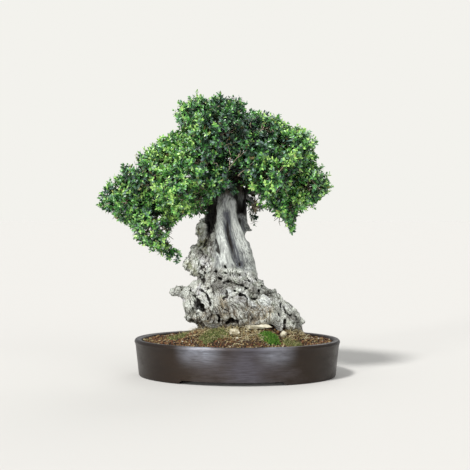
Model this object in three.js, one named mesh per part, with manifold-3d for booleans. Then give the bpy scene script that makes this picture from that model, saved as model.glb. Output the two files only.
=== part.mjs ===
// An old collected olive trained as a bonsai, in the oval stoneware pot that it is grown in.
// Millimetres, +Z up, front towards -Y. The origin is on the ground, under the middle of the whole.

import * as THREE from "three";
import { mergeVertices } from "three/addons/utils/BufferGeometryUtils.js";
import Module from "manifold-3d";

const wasm = await Module();
wasm.setup();

// ---- Driving dimensions ----

const GAP = 0.3; // clearance between pieces that touch
const CLEARANCE = 0.5; // growth of a faceted form that leaves about GAP beside it

// The pot is oval in plan.
const POT_LENGTH = 450;
const POT_DEPTH = 330;
const POT_HEIGHT = 80;
const POT_TAPER = 0.957; // size of the base as a share of the rim
const RIM_WIDTH = 16;
const WALL = 13;
const FLOOR_UNDER = 8; // height of the feet
const FLOOR_TOP = 20;
const FOOT_WIDTH = 26;
const FOOT_CUT_TOP = 208; // length of the cut between the two end feet, along its top
const FOOT_CUT_BOTTOM = 228;
const DRAIN_X = 95; // distance of each drainage hole from the middle
const DRAIN_RADIUS = 13;

// The soil lies just under the rim and is mounded up round the foot of the tree.
const SOIL_EDGE = 74;
const SOIL_CROWN = 4;
const MOUND = { x: 25, y: -8, halfLength: 150, halfDepth: 118, height: 50 };

// The root stump goes down into a pocket in the soil.
const ROOT_STUMP = { x: 10, y: -4, halfLength: 84, halfDepth: 56, bottom: 54, top: 134 };

const SCREEN_SIZE = 36;
const SCREEN_THICKNESS = 1.2;
const SCREEN_MESHES = 3;
const SCREEN_MESH_HOLE = 7;
const CLIP_WIRE = 2;

// ---- Materials ----

const finish = (color, roughness, metalness = 0) =>
  new THREE.MeshStandardMaterial({ color, roughness, metalness });

const STONEWARE = finish(0x4c4542, 0.5);
const SOIL = finish(0x5f4433, 0.95);
const WOOD = finish(0xb0b2a8, 0.85);
const LEAVES = finish(0x3f6b2c, 0.6);
const STONE = finish(0xc9bfa2, 0.9);
const MOSS = finish(0x4f7a2c, 0.95);
const SCREEN = finish(0x2b2b2a, 0.6);
const WIRE = finish(0xb9bcc0, 0.4, 1);

// ---- Solids and meshes ----

function solidOf(geometry) {
  const bare = new THREE.BufferGeometry();
  bare.setAttribute("position", geometry.getAttribute("position"));
  if (geometry.index) bare.setIndex(geometry.index);
  const merged = mergeVertices(bare, 1e-3);
  return new wasm.Manifold(
    new wasm.Mesh({
      numProp: 3,
      vertProperties: merged.attributes.position.array,
      triVerts: new Uint32Array(merged.index.array),
    }),
  );
}

function geometryOf(solid) {
  const mesh = solid.getMesh();
  const positions = new Float32Array(mesh.numVert * 3);
  for (let i = 0; i < mesh.numVert; i++) {
    positions.set(mesh.vertProperties.subarray(i * mesh.numProp, i * mesh.numProp + 3), i * 3);
  }
  const geometry = new THREE.BufferGeometry();
  geometry.setAttribute("position", new THREE.BufferAttribute(positions, 3));
  geometry.setIndex(new THREE.BufferAttribute(mesh.triVerts, 1));
  geometry.computeVertexNormals();
  return geometry;
}

// The biggest body of a solid, for a piece whose cuts leave crumbs behind.
function mainBody(solid) {
  return solid.decompose().reduce((a, b) => (b.volume() > a.volume() ? b : a));
}

const bonsai = new THREE.Group();

function addPiece(name, solid, material) {
  const mesh = new THREE.Mesh(geometryOf(solid), material);
  mesh.name = name;
  bonsai.add(mesh);
}

// Moves every vertex of a geometry with a function of its position.
function reshape(geometry, move) {
  const position = geometry.getAttribute("position");
  const p = new THREE.Vector3();
  for (let i = 0; i < position.count; i++) {
    p.fromBufferAttribute(position, i);
    move(p);
    position.setXYZ(i, p.x, p.y, p.z);
  }
  return geometry;
}

// A smooth, repeatable waviness between -1 and 1.
function waviness(p, wavelength, seed) {
  const k = (2 * Math.PI) / wavelength;
  const a = Math.sin(k * p.x + 1.7 * seed) + Math.sin(0.8 * k * p.y + 2.9 * seed);
  const b = Math.sin(0.9 * k * p.z + 4.1 * seed) + Math.sin(0.7 * k * (p.x + p.y + p.z) + seed);
  return (a + b) / 4;
}

// A turned form made oval: each profile point is [distance inside the outer oval, height].
// Near the middle, where the oval can no longer be offset evenly, it is scaled instead.
function ovalTurned(profile, segments, halfLength, halfDepth, evenInset = 40) {
  const points = profile.map(([inset, z]) => new THREE.Vector2(halfLength - inset, z));
  const lathe = new THREE.LatheGeometry(points, segments);
  lathe.rotateX(Math.PI / 2);
  return reshape(lathe, (p) => {
    const radius = Math.hypot(p.x, p.y);
    if (radius < 1e-6) return;
    const angle = Math.atan2(p.y, p.x);
    const inset = Math.min(halfLength - radius, evenInset);
    const normal = new THREE.Vector2(
      Math.cos(angle) / halfLength,
      Math.sin(angle) / halfDepth,
    ).normalize();
    const shrink = Math.min(1, radius / (halfLength - evenInset));
    p.x = shrink * (halfLength * Math.cos(angle) - inset * normal.x);
    p.y = shrink * (halfDepth * Math.sin(angle) - inset * normal.y);
  });
}

// A closed tapered stem through [x, y, z, radius] stations.
function stem(stations, sides = 5, stepsPerStation = 2) {
  const curve = new THREE.CatmullRomCurve3(
    stations.map(([x, y, z]) => new THREE.Vector3(x, y, z)),
    false,
    "centripetal",
  );
  const steps = (stations.length - 1) * stepsPerStation;
  const frames = curve.computeFrenetFrames(steps, false);
  const positions = [];
  for (let i = 0; i <= steps; i++) {
    const station = (i / steps) * (stations.length - 1);
    const before = Math.min(Math.floor(station), stations.length - 2);
    const radius = THREE.MathUtils.lerp(
      stations[before][3],
      stations[before + 1][3],
      station - before,
    );
    const centre = curve.getPoint(i / steps);
    for (let j = 0; j < sides; j++) {
      const angle = (2 * Math.PI * j) / sides;
      const p = centre.clone();
      p.addScaledVector(frames.normals[i], radius * Math.cos(angle));
      p.addScaledVector(frames.binormals[i], radius * Math.sin(angle));
      positions.push(p.x, p.y, p.z);
    }
  }
  return closedRings(positions, steps + 1, sides, curve.getPoint(0), curve.getPoint(1));
}

// Joins rings of vertices into a tube and closes it with a point at each end.
function closedRings(positions, rings, sides, first, last) {
  const index = [];
  for (let i = 0; i + 1 < rings; i++) {
    for (let j = 0; j < sides; j++) {
      const a = i * sides + j;
      const b = i * sides + ((j + 1) % sides);
      index.push(a, b, b + sides, a, b + sides, a + sides);
    }
  }
  const start = rings * sides;
  const end = start + 1;
  const top = (rings - 1) * sides;
  for (let j = 0; j < sides; j++) {
    const next = (j + 1) % sides;
    index.push(start, next, j, end, top + j, top + next);
  }
  positions.push(first.x, first.y, first.z, last.x, last.y, last.z);
  const geometry = new THREE.BufferGeometry();
  geometry.setAttribute("position", new THREE.BufferAttribute(new Float32Array(positions), 3));
  geometry.setIndex(index);
  return solidOf(geometry);
}

// A rounded uneven lump: an ellipsoid with gentle swellings.
function lump(x, y, z, rx, ry, rz, { seed = 1, detail = 2, rough = 0.08, grow = 0 } = {}) {
  const ball = new THREE.IcosahedronGeometry(1, detail);
  reshape(ball, (p) => {
    const swell = 1 + rough * waviness(p, 1.9, seed);
    p.set(p.x * (rx * swell + grow), p.y * (ry * swell + grow), p.z * (rz * swell + grow));
  });
  ball.translate(x, y, z);
  return solidOf(ball);
}

function joined(solids) {
  return solids.reduce((whole, next) => whole.add(next));
}

// ---- Pot ----

// How far the wall has drawn in at a height.
function lean(z) {
  return (1 - POT_TAPER) * (POT_LENGTH / 2) * (1 - z / POT_HEIGHT);
}

function potBody() {
  const halfLength = POT_LENGTH / 2;
  const halfDepth = POT_DEPTH / 2;
  const profile = [
    [halfLength, FLOOR_UNDER],
    [FOOT_WIDTH + 4, FLOOR_UNDER],
    [FOOT_WIDTH, FLOOR_UNDER - 2],
    [FOOT_WIDTH - 1, 0],
    [lean(0) + 1.5, 0],
    [lean(2), 2],
    [lean(30), 30],
    [lean(62) + 0.6, 62],
    [lean(70) - 0.2, 70],
    [-0.4, 74],
    [0.6, 77.5],
    [3, 79.4],
    [6, POT_HEIGHT],
    [RIM_WIDTH - 4, POT_HEIGHT],
    [RIM_WIDTH - 1, 78.6],
    [RIM_WIDTH, 75],
    [WALL + lean(30) + 1, 34],
    [WALL + 12, FLOOR_TOP + 3],
    [WALL + 20, FLOOR_TOP],
    [halfLength, FLOOR_TOP],
  ];
  return solidOf(ovalTurned(profile, 52, halfLength, halfDepth));
}

// The front and back of the foot ring are cut away, which leaves one foot at each end.
function footCut() {
  const bottom = FOOT_CUT_BOTTOM / 2;
  const top = FOOT_CUT_TOP / 2;
  const outline = new THREE.Shape();
  outline.moveTo(-bottom - 1, -1);
  outline.lineTo(bottom + 1, -1);
  outline.lineTo(top + 3, FLOOR_UNDER - 3);
  outline.quadraticCurveTo(top + 1, FLOOR_UNDER + 0.6, top - 5, FLOOR_UNDER + 0.6);
  outline.lineTo(-top + 5, FLOOR_UNDER + 0.6);
  outline.quadraticCurveTo(-top - 1, FLOOR_UNDER + 0.6, -top - 3, FLOOR_UNDER - 3);
  const cut = new THREE.ExtrudeGeometry(outline, {
    depth: POT_DEPTH + 20,
    bevelEnabled: false,
    curveSegments: 4,
  });
  cut.rotateX(Math.PI / 2);
  cut.translate(0, POT_DEPTH / 2 + 10, 0);
  return solidOf(cut);
}

function uprightCylinder(x, y, bottom, top, radius, sides = 24) {
  const cylinder = new THREE.CylinderGeometry(radius, radius, top - bottom, sides);
  cylinder.rotateX(Math.PI / 2);
  cylinder.translate(x, y, (bottom + top) / 2);
  return solidOf(cylinder);
}

function pot() {
  let body = potBody().subtract(footCut());
  for (const side of [-1, 1]) {
    body = body.subtract(
      uprightCylinder(side * DRAIN_X, 0, FLOOR_UNDER - 5, FLOOR_TOP + 5, DRAIN_RADIUS),
    );
  }
  return body;
}

// ---- Drainage screens, each held by a bent wire clip ----

const SCREEN_BOTTOM = FLOOR_TOP + GAP;
const SCREEN_TOP = SCREEN_BOTTOM + SCREEN_THICKNESS;
const CLIP_HALF_SPAN = 9.5;

function box(x, y, z, lengthX, lengthY, lengthZ) {
  const geometry = new THREE.BoxGeometry(lengthX, lengthY, lengthZ);
  geometry.translate(x, y, z);
  return solidOf(geometry);
}

function drainScreen(x) {
  const z = SCREEN_BOTTOM + SCREEN_THICKNESS / 2;
  const pitch = SCREEN_SIZE / (SCREEN_MESHES + 0.6);
  let screen = box(x, 0, z, SCREEN_SIZE, SCREEN_SIZE, SCREEN_THICKNESS);
  for (let i = 0; i < SCREEN_MESHES; i++) {
    for (let j = 0; j < SCREEN_MESHES; j++) {
      const u = x + (i - (SCREEN_MESHES - 1) / 2) * pitch;
      const v = (j - (SCREEN_MESHES - 1) / 2) * pitch;
      screen = screen.subtract(box(u, v, z, SCREEN_MESH_HOLE, SCREEN_MESH_HOLE, 3));
    }
  }
  return screen;
}

// The clip lies over the screen, and its two legs go down through the mesh and the hole,
// then bend outwards under the pot.
function screenClip(x, radius = CLIP_WIRE / 2) {
  const over = SCREEN_TOP + GAP + CLIP_WIRE / 2;
  const under = FLOOR_UNDER - GAP - CLIP_WIRE / 2;
  const reach = DRAIN_RADIUS + 7;
  const half = CLIP_HALF_SPAN - 0.5;
  return stem(
    [
      [x - reach, 0, under - 0.4, radius],
      [x - half - 3, 0, under - 0.4, radius],
      [x - half, 0, under + 3, radius],
      [x - half, 0, over - 2.4, radius],
      [x - half + 2.4, 0, over, radius],
      [x + half - 2.4, 0, over, radius],
      [x + half, 0, over - 2.4, radius],
      [x + half, 0, under + 3, radius],
      [x + half + 3, 0, under - 0.4, radius],
      [x + reach, 0, under - 0.4, radius],
    ],
    6,
    1,
  );
}

// ---- Soil ----

function soilHeight(x, y) {
  const edge = Math.hypot(x / (POT_LENGTH / 2 - RIM_WIDTH), y / (POT_DEPTH / 2 - RIM_WIDTH));
  const u = (x - MOUND.x) / MOUND.halfLength;
  const v = (y - MOUND.y) / MOUND.halfDepth;
  const rise = Math.pow(Math.max(0, 1 - u * u - v * v), 1.1);
  const uneven = 0.9 * waviness(new THREE.Vector3(x, y, 0), 70, 2);
  return SOIL_EDGE + SOIL_CROWN * Math.max(0, 1 - edge * edge) + MOUND.height * rise + uneven;
}

// Everything below the soil surface, inside the pot's wall. Lifted a little, the same
// surface trims what rests on the soil.
function ground(lift, bottom) {
  const halfLength = POT_LENGTH / 2;
  const wallTop = RIM_WIDTH + 1 + GAP;
  const rings = [0, 0.16, 0.32, 0.46, 0.58, 0.69, 0.79, 0.89, 1];
  const profile = rings.map((t) => [halfLength - t * (halfLength - wallTop), 100]);
  profile.push([WALL + lean(36) + 3, 36], [WALL + 15, FLOOR_TOP + 5], [WALL + 22, bottom]);
  profile.push([halfLength, bottom]);
  profile.reverse();
  const form = ovalTurned(profile, 40, halfLength, POT_DEPTH / 2);
  return solidOf(
    reshape(form, (p) => {
      if (p.z > 99) p.z = soilHeight(p.x, p.y) + lift;
    }),
  );
}

function rootStump(grow = 0) {
  const { x, y, halfLength, halfDepth, bottom, top } = ROOT_STUMP;
  const middle = (bottom + top) / 2;
  const options = { seed: 5, rough: 0.05, grow };
  return lump(x, y, middle, halfLength, halfDepth, (top - bottom) / 2, options);
}

function soil() {
  let body = ground(0, SCREEN_BOTTOM).subtract(rootStump(GAP));
  for (const side of [-1, 1]) {
    const size = SCREEN_SIZE + 2 * GAP;
    const screenDepth = 2 * (SCREEN_THICKNESS + GAP);
    const clipDepth = 2 * (SCREEN_THICKNESS + CLIP_WIRE + 3 * GAP);
    body = body.subtract(box(side * DRAIN_X, 0, SCREEN_BOTTOM, size, size, screenDepth));
    body = body.subtract(
      box(side * DRAIN_X, 0, SCREEN_BOTTOM, 2 * CLIP_HALF_SPAN + 2, CLIP_WIRE + 2 * GAP, clipDepth),
    );
  }
  return body;
}

// What rests on the soil is trimmed to its surface.
const aboveSoil = ground(GAP, 0);

// ---- Trunk, roots and limbs: one piece of wood ----

// The trunk's core: stations of [height, centre x, centre y, half width, half depth].
const TRUNK_STATIONS = [
  [88, 16, -2, 88, 52],
  [112, 12, -2, 96, 58],
  [138, 2, -3, 102, 68],
  [162, -12, -4, 94, 70],
  [186, -22, -3, 72, 60],
  [208, -22, -2, 56, 52],
  [230, -28, -2, 56, 47],
  [256, -25, -1, 55, 44],
  [282, -24, 0, 49, 41],
  [306, -20, 0, 42, 38],
  [336, -12, 0, 35, 36],
  [370, -9, 0, 31, 33],
  [398, -8, 1, 28, 29],
  [420, -10, 2, 22, 24],
  [436, -14, 3, 13, 14],
];
const TRUNK_SIDES = 22;
const LARGE_BURL = 41; // half width from which a burl gets a finer surface
const TRUNK_TWIST = 0.011; // turn of the flutes, radians for each millimetre of height

function trunkCore(grow = 0) {
  const positions = [];
  for (const [z, cx, cy, halfWidth, halfDepth] of TRUNK_STATIONS) {
    for (let j = 0; j < TRUNK_SIDES; j++) {
      const angle = (2 * Math.PI * j) / TRUNK_SIDES;
      const turned = angle + TRUNK_TWIST * z;
      const flute = 1 + 0.05 * Math.sin(3 * turned + 0.6) + 0.045 * Math.sin(5 * turned + 2);
      positions.push(
        cx + (halfWidth * flute + grow) * Math.cos(angle),
        cy + (halfDepth * flute + grow) * Math.sin(angle),
        z,
      );
    }
  }
  const [bottom, bx, by] = TRUNK_STATIONS[0];
  const [top, tx, ty] = TRUNK_STATIONS[TRUNK_STATIONS.length - 1];
  const first = new THREE.Vector3(bx, by, bottom);
  const last = new THREE.Vector3(tx, ty, top + 3);
  return closedRings(positions, TRUNK_STATIONS.length, TRUNK_SIDES, first, last);
}

// Burls, knobs and root swellings: [x, y, z, half width, half depth, half height].
const BURLS = [
  // left side, from the top down
  [-50, 16, 346, 24, 22, 46],
  [-74, -4, 312, 16, 20, 28],
  [-78, -10, 262, 25, 26, 24],
  [-80, -14, 242, 24, 24, 26],
  [-72, -14, 190, 25, 38, 22],
  [-90, -12, 152, 26, 40, 24],
  [-84, -14, 129, 26, 38, 17],
  // front
  [-34, -50, 200, 30, 22, 30],
  [-44, -60, 152, 40, 24, 34],
  [16, -56, 188, 34, 22, 24],
  [10, -68, 146, 42, 20, 30],
  [62, -58, 150, 36, 24, 26],
  [-8, -48, 122, 62, 22, 16],
  // right side, from the top down
  [22, -8, 314, 9, 13, 8],
  [28, -12, 214, 22, 30, 20],
  [44, -14, 190, 25, 40, 22],
  [78, -18, 158, 24, 42, 22],
  [100, -20, 136, 28, 40, 22],
  [112, -18, 117, 24, 36, 22],
  // back
  [-50, 46, 164, 46, 30, 40],
  [-20, 38, 232, 36, 22, 42],
  [34, 44, 170, 46, 30, 36],
  [80, 34, 134, 40, 32, 28],
  [6, 30, 300, 26, 16, 40],
];

// Horns, hanging lobes and roots: stations of [x, y, z, radius].
const ROOTS = [
  [[-74, -14, 176, 20], [-108, -16, 180, 13], [-130, -14, 186, 9], [-142, -12, 177, 4]],
  [[-66, -6, 276, 16], [-98, -6, 258, 13], [-110, -5, 242, 11], [-101, -5, 222, 6]],
  [[6, -44, 120, 14], [48, -74, 128, 16], [84, -58, 138, 16]],
  [[104, -22, 138, 20], [124, -22, 130, 13], [134, -24, 112, 9], [136, -28, 88, 6]],
  [[60, 40, 140, 22], [100, 52, 118, 14], [116, 60, 92, 9], [122, 64, 76, 6]],
  [[-50, 42, 130, 22], [-74, 60, 112, 13], [-84, 72, 80, 8]],
];

// Limbs, each reaching into the mass of leaves that it carries: stations of [x, y, z, radius].
const LIMBS = {
  apex_left: [[-14, 2, 425, 15], [-44, 3, 455, 13], [-74, 0, 486, 11], [-82, 2, 525, 8], [-88, 6, 552, 5]],
  left_mid: [[-20, 0, 430, 12], [-70, -6, 428, 10], [-130, -14, 424, 8], [-184, -24, 424, 5]],
  left_outer: [[-128, -14, 424, 7], [-188, 2, 404, 6], [-246, 2, 384, 4.5]],
  left_droop: [[-116, -12, 425, 7], [-152, -10, 400, 6], [-182, -10, 346, 4.5]],
  left_inner: [[-22, -2, 420, 10], [-72, -30, 410, 7], [-118, -42, 404, 4.5]],
  left_low: [[-8, -2, 400, 9], [-48, -14, 388, 6], [-84, -20, 380, 4.5]],
  left_upper: [[-66, 0, 478, 8], [-108, 14, 478, 6], [-142, 20, 478, 4.5]],
  front_left: [[-42, 2, 454, 8], [-56, -26, 458, 6], [-68, -50, 456, 4.5]],
  apex_mid: [[-10, 4, 425, 14], [4, 8, 480, 11], [-8, 6, 528, 8], [-32, 2, 556, 5]],
  apex_front: [[2, 8, 492, 8], [-12, -34, 516, 6], [-22, -62, 528, 4.5]],
  front_low: [[-6, -4, 432, 9], [-20, -26, 428, 6], [-27, -38, 422, 4.5]],
  front_right: [[3, 8, 474, 8], [22, -18, 480, 6], [36, -40, 480, 4.5]],
  right_upper: [[3, 8, 478, 8], [30, 6, 508, 7], [52, 2, 530, 4.5]],
  right_top: [[-4, 0, 412, 16], [48, -4, 442, 12], [96, -6, 466, 8], [124, -4, 484, 5]],
  right_mid: [[52, -4, 444, 9], [74, -28, 444, 7], [90, -44, 442, 4.5]],
  right_outer: [[68, -4, 452, 8], [114, 0, 434, 7], [150, 0, 412, 4.5]],
  right_droop: [[0, -2, 404, 12], [58, -6, 400, 8], [110, -10, 374, 4.5]],
  right_low: [[2, 6, 402, 9], [26, 20, 386, 6], [38, 28, 372, 4.5]],
  back_left: [[-16, 6, 418, 11], [-72, 52, 426, 8], [-124, 82, 426, 4.5]],
  back_mid: [[-6, 8, 430, 11], [0, 56, 472, 8], [-6, 88, 490, 4.5]],
  back_right: [[2, 6, 422, 11], [52, 50, 430, 8], [90, 80, 434, 4.5]],
};

// The same stem with a bigger radius, and longer by as much at its far end.
function thicker(stations, grow) {
  const tip = new THREE.Vector3(...stations.at(-1));
  const along = tip.clone().sub(new THREE.Vector3(...stations.at(-2))).normalize();
  tip.addScaledVector(along, grow);
  const longer = [...stations.slice(0, -1), [tip.x, tip.y, tip.z, stations.at(-1)[3]]];
  return longer.map(([x, y, z, radius]) => [x, y, z, radius + grow]);
}

// All limbs, or with some growth the room that they need in the leaves.
function limbs(grow = 0) {
  return joined(Object.values(LIMBS).map((stations) => stem(thicker(stations, grow))));
}

// The trunk without its limbs, or with some growth the room that it needs beside it.
function bole(grow = 0) {
  const burls = BURLS.map(([x, y, z, rx, ry, rz], i) =>
    lump(x, y, z, rx, ry, rz, { seed: i + 1, detail: rx > LARGE_BURL ? 2 : 1, rough: 0.16, grow }),
  );
  const roots = ROOTS.map((stations) => stem(thicker(stations, grow), 6));
  return joined([trunkCore(grow), ...burls, ...roots]);
}

function trunk() {
  return mainBody(bole().add(limbs()).subtract(aboveSoil).add(rootStump()));
}

// ---- Foliage: one mass of leaves on each limb ----

// [x, y, z, half width, half depth, half height]
const FOLIAGE = {
  apex_left: [-88, 8, 556, 45, 70, 50],
  apex_mid: [-32, 2, 562, 54, 76, 46],
  apex_front: [-24, -66, 526, 64, 42, 44],
  left_upper: [-142, 22, 476, 62, 72, 46],
  left_mid: [-190, -26, 426, 66, 66, 56],
  left_inner: [-124, -50, 400, 60, 56, 52],
  left_low: [-88, -14, 378, 50, 60, 36],
  left_outer: [-248, 4, 378, 52, 68, 48],
  left_droop: [-182, -10, 326, 48, 60, 60],
  front_left: [-72, -54, 458, 52, 48, 56],
  front_right: [40, -50, 480, 50, 48, 50],
  right_upper: [50, 2, 528, 56, 74, 48],
  right_top: [124, -4, 482, 52, 72, 52],
  right_mid: [92, -48, 438, 62, 56, 52],
  right_outer: [148, 2, 410, 50, 68, 50],
  right_droop: [110, -12, 366, 40, 54, 44],
  right_low: [38, 32, 368, 22, 38, 36],
  back_left: [-126, 82, 426, 86, 52, 62],
  back_mid: [-10, 84, 496, 80, 54, 64],
  back_right: [88, 80, 434, 80, 52, 60],
  front_low: [-27, -48, 420, 25, 27, 34],
};

function foliage() {
  let taken = limbs(CLEARANCE).add(bole(CLEARANCE));
  Object.entries(FOLIAGE).forEach(([name, mass], i) => {
    const options = { seed: i + 3, rough: 0.22 };
    const leaves = mainBody(lump(...mass, options).subtract(taken));
    addPiece("foliage_" + name, leaves, LEAVES);
    taken = taken.add(lump(...mass, { ...options, grow: CLEARANCE }));
  });
}

// ---- Stones and moss on the soil ----

// [x, y, height above the soil, half width, half depth, half height]
const STONES = {
  flat_stone_large: [50, -70, 4, 41, 19, 10],
  flat_stone_small: [2, -91, 4, 15, 11, 9],
  pebble: [104, -74, 4, 8.5, 8, 8],
};
const MOSS_PATCHES = {
  moss_bright: [75, -94, 0, 19, 13, 6],
  moss_front: [-40, -80, 0, 33, 21, 6],
  moss_left: [-118, 8, 0, 34, 34, 5],
  moss_right: [122, -90, 0, 22, 16, 5],
};

function onSoil(pieces, material, rough) {
  Object.entries(pieces).forEach(([name, [x, y, up, rx, ry, rz]], i) => {
    const z = soilHeight(x, y) + up;
    const options = { seed: i + 2, rough };
    const whole = lump(x, y, z, rx, ry, rz, options);
    addPiece(name, mainBody(whole.subtract(aboveSoil).subtract(settled)), material);
    settled = settled.add(lump(x, y, z, rx, ry, rz, { ...options, grow: CLEARANCE }));
  });
}

// ---- The whole ----

addPiece("pot", pot(), STONEWARE);
for (const [side, x] of [["left", -DRAIN_X], ["right", DRAIN_X]]) {
  addPiece("drain_screen_" + side, drainScreen(x), SCREEN);
  addPiece("screen_clip_" + side, screenClip(x), WIRE);
}
addPiece("soil", soil(), SOIL);

addPiece("trunk", trunk(), WOOD);
foliage();

let settled = bole(CLEARANCE).add(rootStump(CLEARANCE));
onSoil(STONES, STONE, 0.12);
onSoil(MOSS_PATCHES, MOSS, 0.12);

const extent = new THREE.Box3().setFromObject(bonsai);
const middle = extent.getCenter(new THREE.Vector3());
bonsai.position.set(-middle.x, -middle.y, 0);

export default bonsai;
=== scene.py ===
"""An old olive bonsai in a low oval pot.

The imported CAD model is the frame. Every visible surface is built here around it: the burled trunk with its
silvery deadwood, twigs and leaves on every limb, the stoneware pot, grit, stones and moss.
Lengths are in millimetres from the middle of the pot's underside, and to_frame() turns them into metres.
"""

import functools
import math

import bmesh
import bpy
import numpy as np
import openvdb
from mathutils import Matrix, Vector
from mathutils.bvhtree import BVHTree


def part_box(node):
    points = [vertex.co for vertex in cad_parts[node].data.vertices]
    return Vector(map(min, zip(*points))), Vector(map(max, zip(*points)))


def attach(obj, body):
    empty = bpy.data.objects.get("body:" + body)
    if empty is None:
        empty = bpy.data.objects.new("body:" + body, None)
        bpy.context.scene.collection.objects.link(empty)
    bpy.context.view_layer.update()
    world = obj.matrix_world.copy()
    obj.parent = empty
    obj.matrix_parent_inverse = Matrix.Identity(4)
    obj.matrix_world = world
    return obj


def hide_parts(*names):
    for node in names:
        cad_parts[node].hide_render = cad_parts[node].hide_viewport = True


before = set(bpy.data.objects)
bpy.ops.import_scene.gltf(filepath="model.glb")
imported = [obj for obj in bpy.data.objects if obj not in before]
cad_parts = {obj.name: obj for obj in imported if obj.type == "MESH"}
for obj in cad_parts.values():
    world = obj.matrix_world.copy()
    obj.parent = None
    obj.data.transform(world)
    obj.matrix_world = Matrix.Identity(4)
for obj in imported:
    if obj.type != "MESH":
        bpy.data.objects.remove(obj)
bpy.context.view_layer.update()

# ---- dimensions

MM = 0.001
UP = np.array([0.0, 0.0, 1.0])

FRAME_PIXELS = 470  # the square picture that pixel coordinates count in
FOCAL_PIXELS = 1000
CAMERA_PLACE = Vector((163.2, -2178.4, 351.7))
CAMERA_TURN = math.radians(4.394)  # towards -X
CAMERA_DIP = math.radians(1.203)

POT_HALF_LENGTH = 225
POT_HALF_DEPTH = 165
POT_HEIGHT = 80
POT_TAPER = 0.957  # size at the foot as a share of the size at the rim
POT_SEGMENTS = 288
RIM_WIDTH = 16
LIP_WIDTH = 5  # the rounding over the rim's outer edge
LIP_HEIGHT = 8
LIP_FLARE = 1.2
FLOOR_UNDER = 8
FLOOR_TOP = 20
FOOT_WIDTH = 26
FOOT_CUT_TOP = 208
FOOT_CUT_BOTTOM = 228
DRAIN_X = 95
DRAIN_RADIUS = 13

TRUNK_PITCH = 1.9  # voxel size of the trunk
TRUNK_BAND = 15  # how far round its surface the trunk's distances are known
TRUNK_ROOT_DEPTH = 10  # how far the visible trunk goes on under the soil
TRUNK_TRIANGLES = 190000
SOIL_EDGE = 74
SOIL_STEP = 6  # between the places where the height of the soil is read off its CAD node
SOIL_LOWEST = 60
CUT_THROUGH = 110  # how far in front of and behind the pot's middle the cuts beside the trunk go
CUT_AHEAD = 9  # how far in front of the trunk's surface its cracks are cut from
WELD_REACH = 1e-5  # in metres

LEAF_LENGTH = 10.5
LEAF_WIDTH = 4.9
LEAF_PAIRS = 5  # on each shoot
SHOOTS = 7200
SPRIG_SHOOTS = 5
CLUMP_SIZE = 38
BARE_TWIGS = 1100

GRAIN_SIZE = 3.9
GRAINS = 6500
STONE_RELIEF = 2.2
STONE_FLATS = 22

FLOOR_COLOUR = (0.60, 0.585, 0.555, 1)
BACKDROP_COLOUR = (0.896, 0.888, 0.847, 1)
SKY_COLOUR = (0.96, 0.98, 1.0, 1)
LAMPS = [  # name, place, strength and spread in degrees
    ("key", (-900, -1300, 2100), 2.8, 10),
    ("window", (-1220, -1850, 260), 1.5, 8),
    ("fill", (1500, -1500, 900), 0.5, 40),
    ("back", (500, 1700, 1500), 0.7, 40),
]

pot_low, pot_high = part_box("pot")
ORIGIN = np.array([(pot_low.x + pot_high.x) / 2, (pot_low.y + pot_high.y) / 2, 0.0])


def to_frame(points):
    """Points in mm from the pot's middle, as points in the frame, in metres."""
    return np.asarray(points, float) * MM + ORIGIN


def from_frame(points):
    return (np.asarray(points, float) - ORIGIN) / MM


BOX_FACES = np.array([(0, 1, 5, 4), (1, 2, 6, 5), (2, 3, 7, 6), (3, 0, 4, 7), (3, 2, 1, 0), (4, 5, 6, 7)])


# ---- number fields


def unit(vectors):
    return vectors / np.maximum(np.linalg.norm(vectors, axis=-1, keepdims=True), 1e-9)


def smoothstep(low, high, x):
    """Rises from 0 at low to 1 at high, which may be below low."""
    t = np.clip((x - low) / (high - low), 0, 1)
    return t * t * (3 - 2 * t)


def scrambled(cell, seed):
    """A repeatable number from 0 to 1 for each whole-number lattice point."""
    x, y, z = (cell[..., i].astype(np.uint32) for i in range(3))
    n = x * np.uint32(73856093) ^ y * np.uint32(19349663) ^ z * np.uint32(83492791)
    n ^= np.uint32(seed * 7919 + 17)
    n = (n ^ (n >> np.uint32(13))) * np.uint32(1274126177)
    n = (n ^ (n >> np.uint32(15))) * np.uint32(2246822519)
    n ^= n >> np.uint32(14)
    return (n & np.uint32(0xFFFFFF)).astype(np.float32) / 0xFFFFFF


def noise(points, wavelength, seed=0):
    """Smooth noise from -1 to 1."""
    q = np.asarray(points, np.float32) / np.float32(wavelength)
    cell = np.floor(q).astype(np.int32)
    part = q - cell
    part = part * part * (3 - 2 * part)
    total = np.zeros(q.shape[:-1], np.float32)
    for corner in np.ndindex(2, 2, 2):
        weight = np.prod(np.where(corner, part, 1 - part), axis=-1)
        total += weight * scrambled(cell + np.array(corner, np.int32), seed)
    return 2 * total - 1


def fractal(points, wavelength, octaves=3, seed=0):
    total, scale = 0, 0
    for octave in range(octaves):
        share = 0.5**octave
        total = total + share * noise(points, wavelength * 0.5**octave, seed + octave)
        scale += share
    return total / scale


def warp(points, wavelength, reach, seed=0):
    """The points, each pushed about by up to reach."""
    shift = [noise(points, wavelength, seed + axis) for axis in range(3)]
    return points + reach * np.stack(shift, axis=-1)


def cells(points, size, seed=0):
    """Distances to the nearest and the next nearest of scattered points, as shares of their spacing."""
    q = np.asarray(points, np.float32) / np.float32(size)
    base = np.floor(q).astype(np.int32)
    nearest = np.full(q.shape[:-1], 9, np.float32)
    second = nearest.copy()
    for corner in np.ndindex(3, 3, 3):
        cell = base + np.array(corner, np.int32) - 1
        distance = np.zeros(q.shape[:-1], np.float32)
        for axis in range(3):
            distance += (q[..., axis] - cell[..., axis] - scrambled(cell, seed + 31 * axis)) ** 2
        second = np.minimum(second, np.maximum(nearest, distance))
        nearest = np.minimum(nearest, distance)
    return np.sqrt(nearest), np.sqrt(second)


# ---- mesh helpers


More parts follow.
